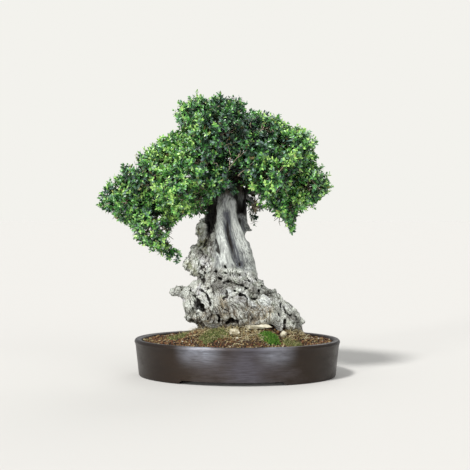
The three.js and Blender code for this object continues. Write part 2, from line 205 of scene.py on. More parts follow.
def mesh_from(name, points, faces, smooth=True):
    """A mesh object from points in mm and an array of triangles or of quads."""
    faces = np.asarray(faces, np.int32)
    mesh = bpy.data.meshes.new(name)
    mesh.vertices.add(len(points))
    mesh.vertices.foreach_set("co", to_frame(points).astype(np.float32).ravel())
    mesh.loops.add(faces.size)
    mesh.loops.foreach_set("vertex_index", faces.ravel())
    mesh.polygons.add(len(faces))
    mesh.polygons.foreach_set("loop_start", np.arange(0, faces.size, faces.shape[1], dtype=np.int32))
    mesh.polygons.foreach_set("use_smooth", np.full(len(faces), smooth))
    mesh.update(calc_edges=True)
    piece = bpy.data.objects.new(name, mesh)
    bpy.context.scene.collection.objects.link(piece)
    return piece


def set_values(piece, name, values, kind="FLOAT", field="value"):
    """Stores a value for each of the piece's points."""
    attribute = piece.data.attributes.new(name, kind, "POINT")
    attribute.data.foreach_set(field, np.asarray(values, np.float32).ravel())


def finish_piece(piece, material, slot, *replaced):
    """Gives the piece its material and its place in the frame, and hides the CAD nodes that it replaces. The
    slot is not used.
    """
    piece.data.materials.clear()
    piece.data.materials.append(material)
    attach(piece, "root")
    if replaced:
        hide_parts(*replaced)


def node_mesh(name):
    """A CAD node's points, in mm, and triangles."""
    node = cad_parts[name]
    node.data.calc_loop_triangles()
    triangles = np.zeros(len(node.data.loop_triangles) * 3, np.int32)
    node.data.loop_triangles.foreach_get("vertices", triangles)
    return points_of(node), triangles.reshape(-1, 3)


def points_of(piece):
    """A piece's points, in mm."""
    points = np.zeros(len(piece.data.vertices) * 3, np.float32)
    piece.data.vertices.foreach_get("co", points)
    return from_frame(points.reshape(-1, 3)).astype(np.float32)


def tree_of(name):
    points, triangles = node_mesh(name)
    return BVHTree.FromPolygons(points.tolist(), triangles.tolist())


def box_of(name):
    """The lowest and the highest corner of a CAD node's box, in mm."""
    return [from_frame(np.array(corner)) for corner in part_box(name)]


def with_modifiers(piece):
    """Puts the mesh that the piece's modifiers give in place of its own, and drops them."""
    graph = bpy.context.evaluated_depsgraph_get()
    mesh = bpy.data.meshes.new_from_object(piece.evaluated_get(graph))
    piece.modifiers.clear()
    piece.data = mesh


def rework(piece, change):
    """Changes a piece's mesh by a function of its bmesh."""
    mesh = bmesh.new()
    mesh.from_mesh(piece.data)
    change(mesh)
    mesh.to_mesh(piece.data)
    mesh.free()
    return piece


def turn_outwards(mesh):
    bmesh.ops.recalc_face_normals(mesh, faces=mesh.faces)


def weld(mesh):
    bmesh.ops.remove_doubles(mesh, verts=mesh.verts, dist=WELD_REACH)


def close_rings(piece, starts, count):
    """Caps the open ring of points that begins at each start."""

    def cap(mesh):
        mesh.verts.ensure_lookup_table()
        for start in starts:
            mesh.faces.new([mesh.verts[start + i] for i in range(count)])
        turn_outwards(mesh)

    return rework(piece, cap)


def halved(quads):
    """Two triangles for each quad."""
    return np.concatenate([quads[..., [0, 1, 2]], quads[..., [0, 2, 3]]])


def closed_disc(rings, segments):
    """Triangles over a middle point, the rings round it, a ring under their edge and a point below."""
    here = np.arange(segments)
    after = (here + 1) % segments
    faces = [np.stack([0 * here, 1 + here, 1 + after], 1)]
    for inner in range(1, 1 + rings * segments, segments):
        outer = inner + segments
        faces.append(np.stack([inner + here, outer + here, outer + after], 1))
        faces.append(np.stack([inner + here, outer + after, inner + after], 1))
    faces.append(np.stack([outer + after, outer + here, 0 * here + outer + segments], 1))
    return np.concatenate(faces)


# ---- material helpers


class Surface:
    """A material on one Principled shader, built node by node."""

    def __init__(self, name, **constants):
        self.material = bpy.data.materials.new(name)
        self.material.use_nodes = True
        self.tree = self.material.node_tree
        self.tree.nodes.clear()
        output = self.tree.nodes.new("ShaderNodeOutputMaterial")
        self.shader = self.node("ShaderNodeBsdfPrincipled", **constants)
        self.tree.links.new(self.shader.outputs["BSDF"], output.inputs["Surface"])

    def put(self, value, socket):
        """Links a value that is a socket and sets any other. A colour of three numbers is opaque."""
        if isinstance(value, bpy.types.NodeSocket):
            self.tree.links.new(value, socket)
        elif socket.type == "RGBA":
            socket.default_value = (*value[:3], 1)
        else:
            socket.default_value = value

    def node(self, kind, settings=None, **inputs):
        """A node whose inputs are named with underscores for spaces."""
        made = self.tree.nodes.new(kind)
        for name, value in (settings or {}).items():
            setattr(made, name, value)
        for name, value in inputs.items():
            self.put(value, made.inputs[name.replace("_", " ")])
        return made

    def place(self, scale=(1, 1, 1)):
        """Object coordinates, in metres."""
        where = self.node("ShaderNodeTexCoord").outputs["Object"]
        return self.node("ShaderNodeMapping", Vector=where, Scale=scale).outputs["Vector"]

    def grain(self, vector, scale, detail=4, roughness=0.55, output="Fac"):
        """Noise, finer the larger its scale."""
        kind = "ShaderNodeTexNoise"
        made = self.node(kind, Vector=vector, Scale=scale, Detail=detail, Roughness=roughness)
        return made.outputs[output]

    def number(self, name, output="Fac"):
        """What the mesh's points say under a name."""
        return self.node("ShaderNodeAttribute", {"attribute_name": name}).outputs[output]

    def math(self, operation, *values, kind="ShaderNodeMath"):
        made = self.node(kind, {"operation": operation})
        for socket, value in zip(made.inputs, values):
            self.put(value, socket)
        return made.outputs[0]

    def times(self, first, second):
        return self.math("MULTIPLY", first, second)

    def plus(self, first, second):
        return self.math("ADD", first, second)

    def stretch(self, value, low, high, first=0.0, last=1.0):
        """Goes smoothly from first to last as the value goes from low to high."""
        span = {"From_Min": low, "From_Max": high, "To_Min": first, "To_Max": last}
        smooth = {"interpolation_type": "SMOOTHSTEP"}
        return self.node("ShaderNodeMapRange", smooth, Value=value, **span).outputs["Result"]

    def ramp(self, value, stops, interpolation="LINEAR"):
        """A colour for a value, from stops that each have a place and a colour."""
        made = self.node("ShaderNodeValToRGB", Fac=value)
        ramp = made.color_ramp
        ramp.interpolation = interpolation
        while len(ramp.elements) < len(stops):
            ramp.elements.new(0.5)
        for element, (place, colour) in zip(ramp.elements, stops):
            element.position = place
            element.color = (*colour, 1)
        return made.outputs["Color"]

    def mix(self, share, first, second):
        """Two colours mixed, with that share of the second."""
        made = self.node("ShaderNodeMix", {"data_type": "RGBA"})
        for index, value in ((0, share), (6, first), (7, second)):
            self.put(value, made.inputs[index])
        return made.outputs[2]

    def layered(self, colour, *layers):
        """The colour under layers of others, the first layer lowest.

        Each layer is its colour, a mask, a span of the mask's values, the layer's shares at the two ends of
        that span and, where it is kept to some places, how much of it they take.
        """
        for over, mask, span, shares, *places in layers:
            share = self.stretch(mask, *span, *shares)
            if places:
                share = self.times(places[0], share)
            colour = self.mix(share, colour, over)
        return colour

    def finish(self, colour, mask, rough, bump=None, span=(0.3, 0.7)):
        """Sets the colour, a roughness that follows a mask, and a bump's height, distance and strength."""
        self.put(colour, self.shader.inputs["Base Color"])
        self.put(self.stretch(mask, *span, *rough), self.shader.inputs["Roughness"])
        if bump:
            height, distance, strength = bump
            made = self.node("ShaderNodeBump", Height=height, Distance=distance, Strength=strength)
            self.put(made.outputs["Normal"], self.shader.inputs["Normal"])
        return self.material


# ---- the camera


def camera_axes():
    """The directions to the right, ahead and up, as the camera sees them."""
    level = Vector((math.cos(CAMERA_TURN), math.sin(CAMERA_TURN), 0))
    ahead = Vector((-math.sin(CAMERA_TURN), math.cos(CAMERA_TURN), 0)) * math.cos(CAMERA_DIP)
    ahead.z = -math.sin(CAMERA_DIP)
    return level, ahead, level.cross(ahead)


def sight_line(px, py):
    """The direction from the camera through a pixel of the picture."""
    level, ahead, above = camera_axes()
    right, up = (px - FRAME_PIXELS / 2) / FOCAL_PIXELS, (FRAME_PIXELS / 2 - py) / FOCAL_PIXELS
    return (ahead + level * right + above * up).normalized()


def make_camera():
    data = bpy.data.cameras.new("camera")
    data.sensor_width = 36
    data.lens = data.sensor_width * FOCAL_PIXELS / FRAME_PIXELS
    data.clip_start = 0.05
    data.clip_end = 50
    camera = bpy.data.objects.new("camera", data)
    camera.location = to_frame(CAMERA_PLACE)
    camera.rotation_euler = camera_axes()[1].to_track_quat("-Z", "Y").to_euler()
    bpy.context.scene.collection.objects.link(camera)
    bpy.context.scene.camera = camera


# ---- the trunk's solid


class Solid:
    """A solid held as distances to its surface, in mm, on a regular lattice. Inside is negative."""

    def __init__(self, points, triangles, pitch, band):
        self.pitch = pitch
        grid = openvdb.FloatGrid.createLevelSetFromPolygons(
            points.astype(np.float32),
            triangles=triangles.astype(np.uint32),
            transform=openvdb.createLinearTransform(voxelSize=pitch),
            halfWidth=band / pitch,
        )
        low, high = grid.evalActiveVoxelBoundingBox()
        self.first = np.array(low) - 2
        self.field = np.zeros(np.array(high) - np.array(low) + 5, np.float32)
        grid.copyToArray(self.field, ijk=tuple(int(i) for i in self.first))
        self.band = band

    def near(self, low, high):
        """Slices of the lattice that hold the box from low to high, and the places of its points."""
        lowest = np.maximum(np.floor(low / self.pitch).astype(int) - self.first, 0)
        highest = np.minimum(np.ceil(high / self.pitch).astype(int) - self.first + 1, self.field.shape)
        slices = tuple(slice(a, max(a, b)) for a, b in zip(lowest, highest))
        axes = [(np.arange(s.start, s.stop) + self.first[i]) * self.pitch for i, s in enumerate(slices)]
        return slices, np.stack(np.meshgrid(*axes, indexing="ij"), axis=-1).astype(np.float32)

    def change(self, chain, blend, joins):
        """Joins on, or cuts out, a rounded chain of (x, y, z, radius)."""
        chain = np.asarray(chain, np.float32)
        reach = chain[:, 3].max() + 2 * blend + self.pitch
        slices, points = self.near(chain[:, :3].min(0) - reach, chain[:, :3].max(0) + reach)
        if points.size == 0:
            return
        other = chain_distance(points, chain)
        here = self.field[slices]
        if joins:
            overlap = np.maximum(blend - np.abs(here - other), 0) / blend
            self.field[slices] = np.minimum(here, other) - overlap**2 * blend / 4
        else:
            overlap = np.maximum(blend - np.abs(here + other), 0) / blend
            self.field[slices] = np.maximum(here, -other) + overlap**2 * blend / 4

    def sample(self, field, points):
        """A lattice field's value at each point, from its eight neighbours."""
        q = points / self.pitch - self.first
        cell = np.clip(np.floor(q).astype(int), 0, np.array(field.shape) - 2)
        part = np.clip(q - cell, 0, 1)
        total = np.zeros(len(points))
        for corner in np.ndindex(2, 2, 2):
            weight = np.prod(np.where(corner, part, 1 - part), axis=-1)
            total += weight * field[tuple((cell + corner).T)]
        return total

    def surface(self):
        """The points and triangles of the solid's surface."""
        grid = openvdb.FloatGrid(self.band)
        field = np.clip(self.field, -self.band, self.band)
        grid.copyFromArray(field, ijk=tuple(int(i) for i in self.first))
        grid.transform = openvdb.createLinearTransform(voxelSize=self.pitch)
        points, triangles, quads = grid.convertToPolygons(0.0, 0.0)
        faces = np.concatenate([triangles, halved(quads)]).astype(np.int32)
        return largest_body(points, faces[:, ::-1])


def chain_distance(points, chain):
    nearest = np.full(points.shape[:-1], 1e6, np.float32)
    for start, end in zip(chain[:-1], chain[1:]):
        along = end[:3] - start[:3]
        share = np.clip((points - start[:3]) @ along / max(float(along @ along), 1e-6), 0, 1)
        centre = start[:3] + share[..., None] * along
        radius = start[3] + share * (end[3] - start[3])
        nearest = np.minimum(nearest, np.linalg.norm(points - centre, axis=-1) - radius)
    return nearest


def largest_body(points, faces):
    """Drops every part of a mesh that isn't joined to its largest part."""
    label = np.arange(len(points))
    edges = np.concatenate([faces[:, [0, 1]], faces[:, [1, 2]]])
    while True:
        lowest = np.minimum(label[edges[:, 0]], label[edges[:, 1]])
        new = label.copy()
        np.minimum.at(new, edges[:, 0], lowest)
        np.minimum.at(new, edges[:, 1], lowest)
        new = new[new]
        if np.array_equal(new, label):
            break
        label = new
    main = np.bincount(label).argmax()
    kept = label == main
    number = np.cumsum(kept) - 1
    return points[kept], number[faces[kept[faces[:, 0]]]]


def blurred(field, reach):
    """The field, averaged over a few boxes of about that many lattice steps each way."""
    width = 2 * reach + 1
    for axis in (0, 0, 1, 1, 2, 2):
        margin = [(0, 0)] * 3
        margin[axis] = (reach + 1, reach)
        total = np.cumsum(np.pad(field, margin, "edge"), axis)
        upper = np.take(total, np.arange(width, total.shape[axis]), axis)
        lower = np.take(total, np.arange(total.shape[axis] - width), axis)
        field = (upper - lower) / width
    return field


# ---- what shows on the trunk
# Each line on the trunk is given by the pixels that it runs through in the picture, and lies on the CAD
# trunk there.

PALE_RIDGE_LEFT = [(219.5, 203), (220.5, 220), (222, 236), (226, 250), (225, 262)]
PALE_RIDGE_RIGHT = [(233.5, 203), (234.5, 221), (239.5, 235), (246, 249), (251, 266)]
DARK_GROOVE = [(226.5, 214), (228.5, 234), (232.5, 246), (236, 257), (240, 265)]
LEFT_SEAM = [(216, 240), (217.5, 246), (217.5, 250), (219.5, 254)]
SIDE_GROOVE = [(243, 238), (247, 248), (250, 258)]
TOP_HOLLOW = [(240.5, 186), (241, 197), (241, 209)]
HOLLOW_SIDE = [(244.5, 186), (245, 208)]
RIGHT_SCOOP = [(241.5, 213), (243, 221), (244, 229)]
LEFT_RECESS = [(211.5, 197), (211.5, 210), (211, 220), (211.5, 232)]
BESIDE_NECK = {(251, 236): 15, (255, 243): 13, (260.5, 252): 11, (264, 264): 5}  # radius cut away
STUB = [(245, 229), (251.5, 230)]

KNOB_COLUMN = [(202.5, 221), (200.5, 227), (200.5, 234), (204, 243)]
HANGING_LOBE = [(200, 254), (196, 262), (192.5, 271)]
LOBE_TIP = [(194, 260), (187, 261.5), (184.5, 265)]
BESIDE_LOBE = {
    (181, 251): 18, (188, 249.5): 9, (187.5, 273): 7.5, (181, 277): 12, (195.5, 278.5): 9, (176, 303): 8,
}
BESIDE_KNOB = {(268, 283.5): 13, (273, 287): 11, (269.5, 292.5): 4.5, (291, 297): 15.5, (300, 304): 10}
HORN = [(174.5, 293), (181, 291.5), (188, 294)]
HORN_KNOB = [(178.3, 288.8), (181, 289.5)]
BESIDE_HORN = {(170.5, 285.5): 11, (177, 282.6): 6, (177.3, 300.6): 9, (184.5, 283.5): 5}

RIGHT_KNOB = [(274.5, 297), (278, 296), (281.5, 300)]
ROOT_KNOBS = [(286, 306), (292, 308.5), (299, 314), (301, 322)]
FRONT_FOOT = [(270, 312), (275, 319), (279, 325), (280, 331)]
LEDGE = [(226, 270.5), (233, 272), (243, 271.5), (254, 269)]
LEDGE_CRACK = [(223.8, 282.8), (228, 281.5), (234.6, 282.8), (242.2, 285.9), (246.8, 288.9)]
HOLES = {
    "left_eye": [(215, 271.5), (215.5, 272.5)],
    "small_eye": [(224, 264.5), (226.5, 268.5)],
    "low_eye": [(220, 278.5), (220.5, 280)],
    "middle_eye": [(235.5, 290), (236, 291.5)],
    "right_eye": [(258, 290), (258.5, 291)],
}
CRACKS = {  # pixels, radii and depth
    "ledge": (LEDGE_CRACK, (2, 3.6, 3.4, 2), 10),
    "burl": ([(200.5, 289.5), (206, 293), (209.6, 300.5), (210.6, 304.5)], (1.1, 1.9, 2.5, 1.5), 9),
    "lower": ([(237.6, 294.5), (240.7, 294.3), (244.8, 296), (247.8, 299)], (1.5, 2.6, 2.2, 1.5), 7),
    "base": ([(226, 323), (231, 320.5), (237, 321)], (3.5, 5.5, 3.5), 14),
    "seam": ([(216, 313), (219.5, 317), (218, 322)], (1.4, 3, 2), 8),
    "arch": ([(206.5, 289.4), (209, 287.5), (211.6, 286.9)], (1.2, 1.8, 1.2), 5),
    "foot": ([(189, 326), (199, 328), (208, 327)], (4, 5, 4), 8),
    "flake": ([(190, 300), (193, 309), (199, 316)], (1.2, 2.0, 1.2), 6),
    "root": ([(284, 308), (286, 313), (291, 315.5)], (1.0, 1.8, 1.2), 5),
    "shoulder": ([(255, 279), (262, 287)], (1.4, 2.0), 6),
    "horn": ([(174.5, 294.6), (178.5, 293.8), (181.5, 296.6)], (1.2, 2.2, 1.6), 5),
    "horn_side": ([(185.6, 290.5), (185.2, 294)], (1.2, 1.8), 5),
    "horn_top": ([(180.8, 287.4), (182.2, 290)], (1.3, 1.0), 3),
}
DEEP_HOLE = [(197.8, 299.5), (200.4, 305.5), (203.2, 310)]
WHITE_STRAND = [(241, 291), (245, 295), (249, 302), (255, 306.5)]
WHITE_SILL = [(236, 320.5), (241, 319.5), (247, 319)]
LOG_ROOT = [(243, 316), (252, 313.5), (262, 312.5), (270, 315)]

TAN_PLACES = [
    [(223, 303), (223, 318)], [(207, 316), (226, 322)], [(250, 308), (268, 310)],
    [(200, 322), (210, 318)], [(232, 314), (240, 320)], [(250, 320), (264, 318)],
]
WHITE_PLACES = [
    [(261, 296.5), (268, 298)], [(260, 300), (270, 301.5)], [(262, 304), (269, 305)],
    [(228, 290), (232, 294)], WHITE_STRAND, WHITE_SILL,
]
# Dark bark, and painted shadow under the overhangs and at the trunk's base.
DARK_AND_SHADED_PLACES = [
    [(218, 311), (224, 323)], [(174, 296), (181, 296.5)], [(186, 315), (192, 322)],
    [(244, 304), (256, 309)], [(218.5, 279), (221, 288)], [(228, 283), (244, 285.5)],
    [(228, 310), (238, 318)], [(196, 322), (206, 326)], [(252, 290), (257, 296)],
    [(213, 270), (216, 274)], [(268, 293), (270, 298)], [(232, 299), (240, 303)],
    [(210, 278), (215, 287)], [(216, 242), (218, 252)], [(209, 240), (213, 250)],
    [(200, 252), (206, 255)], [(207, 311), (214, 320)], [(228, 305), (240, 309)],
    [(246, 314), (254, 318)], [(275, 293.5), (279, 296)], [(291, 317), (297, 321)],
    [(229, 289), (233, 286)], [(240, 299), (247, 302)], [(202, 279), (206, 283)],
    [(256, 308), (262, 311)],
]
# The deep hole and the hollow at the base, painted black as shade.
BLACK_SHADE_PLACES = [DEEP_HOLE, [(229, 321), (235, 320)]]
PALE_PLACES = [
    [(190, 266), (200, 258)], [(206, 270), (213, 273)], [(193, 288), (190, 305)],
    [(210, 290), (214, 298)], [(275, 300), (290, 310)], [(268, 308), (275, 326)],
    [(283, 312), (299, 320)], [(232, 287), (240, 297)], [(262, 288), (268, 298)],
    [(278, 305), (281, 325)], [(263, 312), (272, 320)], LEDGE, [(201, 272), (207, 278)],
    [(221, 290), (226, 295)],
]
MOSSY_PLACES = [
    [(197, 240), (199, 246)], [(204, 241), (207, 247)], [(198, 221), (199, 234)], [(188, 264), (194, 272)],
]
MARKS = {  # the marks on the trunk's skin, with how far each reaches from its lines
    "tan": (TAN_PLACES, 19),
    "white": (WHITE_PLACES, 6),
    "pale": (PALE_PLACES, 28),
    "mossy": (MOSSY_PLACES, 15),
    # dark holds dark bark and painted shadow.
    "dark": (DARK_AND_SHADED_PLACES, 13),
    # Painted shade along the dark groove.
    "groove_shade": ([DARK_GROOVE], 12),
    "ridge": ([PALE_RIDGE_LEFT, PALE_RIDGE_RIGHT], 15),
    # Painted shade in the scoop on the right.
    "scoop_shade": ([RIGHT_SCOOP], 19),
}


def on_trunk(tree, pixel):
    """The place on the trunk's front that a pixel shows, with the way in."""
    direction = sight_line(*pixel)
    hit = tree.ray_cast(CAMERA_PLACE, direction)[0]
    if hit is None:
        hit = tree.find_nearest(Vector(at_depth(pixel, 0)))[0]
    return np.array(hit), np.array(direction)


def at_depth(pixel, depth):
    """The place that a pixel shows, that far behind the pot's middle."""
    direction = sight_line(*pixel)
    return np.array(CAMERA_PLACE + direction * ((depth - CAMERA_PLACE.y) / direction.y))


def lay(tree, pixels, radii, sink):
    """A chain of balls along a line on the trunk, each sunk by that much under the surface."""
    radii = np.interp(np.linspace(0, 1, len(pixels)), np.linspace(0, 1, len(radii)), radii)
    found = [on_trunk(tree, pixel) for pixel in pixels]
    return [[*(place + way * sink), radius] for (place, way), radius in zip(found, radii)]


def hang(pixels, radii, depths):
    """A chain of balls along a line of pixels, at one depth or each at its own."""
    depths = np.broadcast_to(depths, len(pixels))
    return [[*at_depth(pixel, depth), radius] for pixel, radius, depth in zip(pixels, radii, depths)]


def deadwood(points):
    """1 on the bare smooth wood of the upper trunk, 0 on the burls."""
    x, y, z = np.moveaxis(points, -1, 0)
    wander = 8 * noise(points, 26, seed=5)
    return smoothstep(224, 240, z + wander + 0.12 * x) * smoothstep(-52, -41, x + 0.6 * wander)


def ridge_lines(tree):
    """Curves that give the x of the left and of the right pale ridge at a height."""
    found = []
    for line in (PALE_RIDGE_LEFT, PALE_RIDGE_RIGHT):
        places = np.array([on_trunk(tree, pixel)[0] for pixel in line])
        found.append(np.polynomial.Polynomial.fit(places[:, 2], places[:, 0], 2))
    return found


def flow(points, ridges):
    """Coordinates that run across the grain, through it and, much more slowly, along it."""
    x, y, z = np.moveaxis(points, -1, 0)
    height = np.clip(z, 225, 400)
    left, right = (ridge(height) for ridge in ridges)
    return np.stack([(x - left) / np.maximum(right - left, 20) * 34, y, z * 0.06], axis=-1)


def fanned(points):
    """Coordinates in which the burls' folds, which flare down from the waist, run upright."""
    x, y, z = np.moveaxis(points, -1, 0)
    below = np.maximum(345 - z, 40)
    return np.stack([(x + 12) / below**0.6 * 22, y, z], axis=-1).astype(np.float32)


def whorl_phase(points):
    """Rises by 1 from each ridge of the burls' grain to the next. The grain winds round knots."""
    bent = warp(fanned(points), 60, 16, seed=40)
    return bent[..., 0] / 8 + 3.0 * noise(bent, 36, seed=56) + 1.5 * noise(bent, 18, seed=57)


def scaly_share(points):
    """1 where the burls' skin is broken into knobs, as it is all over the left lobe."""
    x, z = points[..., 0], points[..., 2]
    on_lobe = smoothstep(-58, -78, x) * smoothstep(214, 232, z)
    return np.clip(smoothstep(0.05, 0.35, noise(points, 40, seed=92)) + 0.9 * on_lobe, 0, 1)


def knobs(points):
    """1 on each knob of the scaly skin, 0 in the clefts between them."""
    nearest, second = cells(warp(points, 17, 5, seed=90), 11.5, seed=91)
    return smoothstep(0.02, 0.34, second - nearest)


def burl_height(points):
    """How far the burls' swellings, folds, knobs and grain stand out of the plain trunk."""
    bent = warp(warp(fanned(points), 46, 17, seed=40), 16, 5, seed=50)
    tall = bent * np.array([1, 1, 0.45], np.float32)
    swell = 3.8 * noise(bent, 34, seed=61) + 3.2 * noise(tall, 14, seed=62)
    folds = 0
    for size, depth, width, seed in ((23, 5.0, 0.07, 73), (15, 5.0, 0.07, 64), (9, 2.8, 0.11, 65)):
        folds = folds - depth * (1 - smoothstep(0, width, np.abs(noise(tall, size, seed))))
    scaly = scaly_share(points)
    strength = (0.9 + 2.3 * smoothstep(-0.35, 0.4, noise(points, 38, seed=48))) * (1 - 0.65 * scaly)
    ridges = np.abs(np.sin(math.pi * whorl_phase(points)))
    relief = strength * (ridges - 0.45) + scaly * (3.0 * knobs(points) - 2.0)
    return swell + folds + relief + 1.3 * fractal(bent, 6.5, 2, seed=80) + 1.2


def wood_height(points, ridges):
    """The flutes and checks that run along the bare wood."""
    along = flow(points, ridges)
    flutes = 1.5 * noise(along, 11, seed=20) + 0.8 * noise(along, 5.5, seed=21)
    checks = np.abs(noise(along, 6, seed=22))
    return flutes - 1.1 * (1 - smoothstep(0, 0.16, checks)) + 0.3 * fractal(points, 9, 2, seed=23)


def limb_height(points):
    """How far the bark of the limbs stands out."""
    return 0.8 * fractal(points, 14, 3, seed=30) + 0.35 * noise(points, 4.5, seed=31)


def carve(solid, tree):
    """The knobs, ridges, grooves and hollows, each a line, its radii, its depth and its blend."""
    lay_here = functools.partial(lay, tree)
    for make, line, radii, depth, blend in (
        (hang, KNOB_COLUMN, (7, 10, 10, 8), -6, 5),
        (hang, HANGING_LOBE, (8, 7, 5), -12, 5),
        (hang, LOBE_TIP, (6, 4.5, 4), -10, 3),
        (hang, FRONT_FOOT, (9, 11, 10, 9), (-68, -62, -56, -52), 6),
        (lay_here, HORN, (6, 8, 11), 2, 4),
        (lay_here, HORN_KNOB, (5.5, 4.5), 1, 2),
        (lay_here, RIGHT_KNOB, (7, 8, 7), 5, 4),
        (lay_here, ROOT_KNOBS, (5, 7, 7, 6), 5, 4),
        (hang, LEFT_RECESS, (12, 12, 12, 12), 16, 6),
        (lay_here, PALE_RIDGE_LEFT, (7, 8, 9, 9, 6), 3, 7),
        (lay_here, PALE_RIDGE_RIGHT, (7, 8, 10, 12, 11), 3, 8),
    ):
        solid.change(make(line, radii, depth), blend, True)
    for places in (BESIDE_NECK, BESIDE_LOBE, BESIDE_KNOB, BESIDE_HORN):
        for pixel, radius in places.items():
            solid.change(hang([pixel] * 2, [radius] * 2, (-CUT_THROUGH, CUT_THROUGH)), 4, False)
    for line, radii, sink, blend in (
        (RIGHT_SCOOP, (12, 13, 9), -4, 8),
        (DARK_GROOVE, (5, 7, 8, 8, 6), -4, 7),
        (DARK_GROOVE, (2, 3, 3.8, 3.5, 2.5), 2, 4),
        (LEFT_SEAM, (2, 4, 4.5, 2), 0, 3),
        (SIDE_GROOVE, (2, 3, 2), 0, 4),
    ):
        solid.change(lay_here(line, radii, sink), blend, False)
    for sink in (0, 6, 12):
        solid.change(lay_here(TOP_HOLLOW, (9, 10, 7), 1.4 * sink), 4, False)
        solid.change(hang(LEFT_RECESS, (5, 7, 7, 4), sink - 24), 3, False)
    for make, line, radii, depth, blend in (
        (hang, STUB, (5, 3), 4, 4),
        (lay_here, LEDGE, (3, 4.5, 4.5, 4), 0, 4),
        (lay_here, LOG_ROOT, (13, 15, 15, 13), 8, 5),
        (lay_here, WHITE_STRAND, (2, 3, 3, 2), 0, 2),
        (lay_here, WHITE_SILL, (2, 3, 2), 0, 2),
    ):
        solid.change(make(line, radii, depth), blend, True)


def crooked(chain, rng):
    """A chain with three times as many links, each a little off the straight and of uneven width."""
    chain = np.array(chain)
    finer = between(np.linspace(0, len(chain) - 1, 3 * len(chain) - 2), np.arange(len(chain)), chain)
    finer[:, :3] += rng.normal(0, 1.1, (len(finer), 3))
    finer[:, 3] *= rng.uniform(0.45, 1.35, len(finer))
    return finer


def crack(solid, tree):
    """The cracks and holes, cut from a little in front of the relief to their depth behind it."""
    rng = np.random.default_rng(21)
    holes = [(pixels, (3.4, 3.0), 13) for pixels in HOLES.values()]
    for line, radii, depth in [*CRACKS.values(), *holes, (DEEP_HOLE, (3.5, 7.5, 4.5), 22)]:
        front = crooked(lay(tree, line, 0.85 * np.array(radii), 0), rng)
        way_in = np.array([*sight_line(*line[0]), 0])
        for sink in np.linspace(-CUT_AHEAD, depth, 6):
            solid.change(front + sink * way_in, 1.2, False)


def closeness(tree, lines, points, reach, soft=0.75, sink=0):
    """1 on any of the lines on the trunk or that much under its surface, and 0 from that reach on."""
    chains = [np.array(lay(tree, line, (1,), sink)) for line in lines]
    nearest = np.min([chain_distance(points, chain) for chain in chains], axis=0)
    wander = 0.3 * reach * fractal(points, 13, 3, seed=150)
    return 1 - smoothstep((1 - soft) * reach, reach, nearest + wander)


def make_trunk(soil_top):
    """Builds the trunk's skin, and gives the solid under it."""
    points, triangles = node_mesh("trunk")
    tree = BVHTree.FromPolygons(points.tolist(), triangles.tolist())
    ridges = ridge_lines(tree)
    solid = Solid(points, triangles, TRUNK_PITCH, TRUNK_BAND)
    solid.field = blurred(solid.field, 1)
    carve(solid, tree)

    shell = np.abs(solid.field) < 0.75 * TRUNK_BAND
    where = (np.argwhere(shell) + solid.first).astype(np.float32) * TRUNK_PITCH
    bare, limbs = deadwood(where), limb_share(where)
    relief = np.where(bare > 0.01, bare * wood_height(where, ridges), 0)
    relief += np.where(bare < 0.99, (1 - bare) * burl_height(where), 0)
    solid.field[shell] -= relief * (1 - limbs) + limbs * limb_height(where)
    crack(solid, tree)

    ground = soil_top(where[:, :2]) - TRUNK_ROOT_DEPTH
    solid.field[shell] = np.maximum(solid.field[shell], ground - where[:, 2])
    heights = (np.arange(solid.field.shape[2]) + solid.first[2]) * TRUNK_PITCH
    low_part = heights < SOIL_EDGE - TRUNK_ROOT_DEPTH
    solid.field[:, :, low_part] = np.maximum(solid.field[:, :, low_part], 2 * TRUNK_PITCH)

    points, faces = solid.surface()
    piece = thinned(mesh_from("trunk_surface", points, faces), limb_share(points))
    for name, values in skin_marks(solid, tree, points_of(piece), ridges, soil_top).items():
        set_values(piece, name, values)
    set_values(piece, "flow", flow(points_of(piece), ridges) * MM, "FLOAT_VECTOR", "vector")
    finish_piece(piece, wood_material(), "wood", "trunk")
    return solid


def skin_marks(solid, tree, points, ridges, soil_top):
    """What the wood's colours follow: numbers from 0 to 1 for each point, and the phase of the grain."""
    near = functools.partial(closeness, tree, points=points)
    above_soil = points[:, 2] - soil_top(points[:, :2]) + 9 * fractal(points, 24, 2, seed=160)
    marks = {
        "bare": deadwood(points),
        "limb": limb_share(points),
        "edge": smoothstep(0.15, 1.7, solid.sample(blurred(solid.field, 2), points)),
        "base": 1 - smoothstep(3, 30, above_soil),
        # cavity and deep are painted shade: 1 where the surface lies in from its blurred self.
        "cavity_shade": 1 - smoothstep(-3.0, 0.2, solid.sample(blurred(solid.field, 3), points)),
        "deep_shade": 1 - smoothstep(-8.0, -1.0, solid.sample(blurred(solid.field, 7), points)),
    }
    for name, (lines, reach) in MARKS.items():
        marks[name] = near(lines, reach=reach)
    marks["phase"] = whorl_phase(points)
    broken = smoothstep(-0.5, 0.1, noise(points, 9, seed=170))
    cracks = near([pixels for pixels, _, _ in CRACKS.values()], reach=3.0, soft=0.6)
    # Painted shade: the hollows, the recesses, the black places and the broken cracks, which the wood takes
    # nearly to black.
    hollows = [
        near([TOP_HOLLOW, HOLLOW_SIDE], reach=20, soft=0.35),
        near([LEFT_RECESS], reach=15, soft=0.4),
        near(BLACK_SHADE_PLACES, reach=5, soft=0.5),
        near([DEEP_HOLE], reach=13, soft=0.35, sink=14),
        broken * cracks,
    ]
    marks["hollow_shade"] = np.max(hollows, axis=0)
    return marks


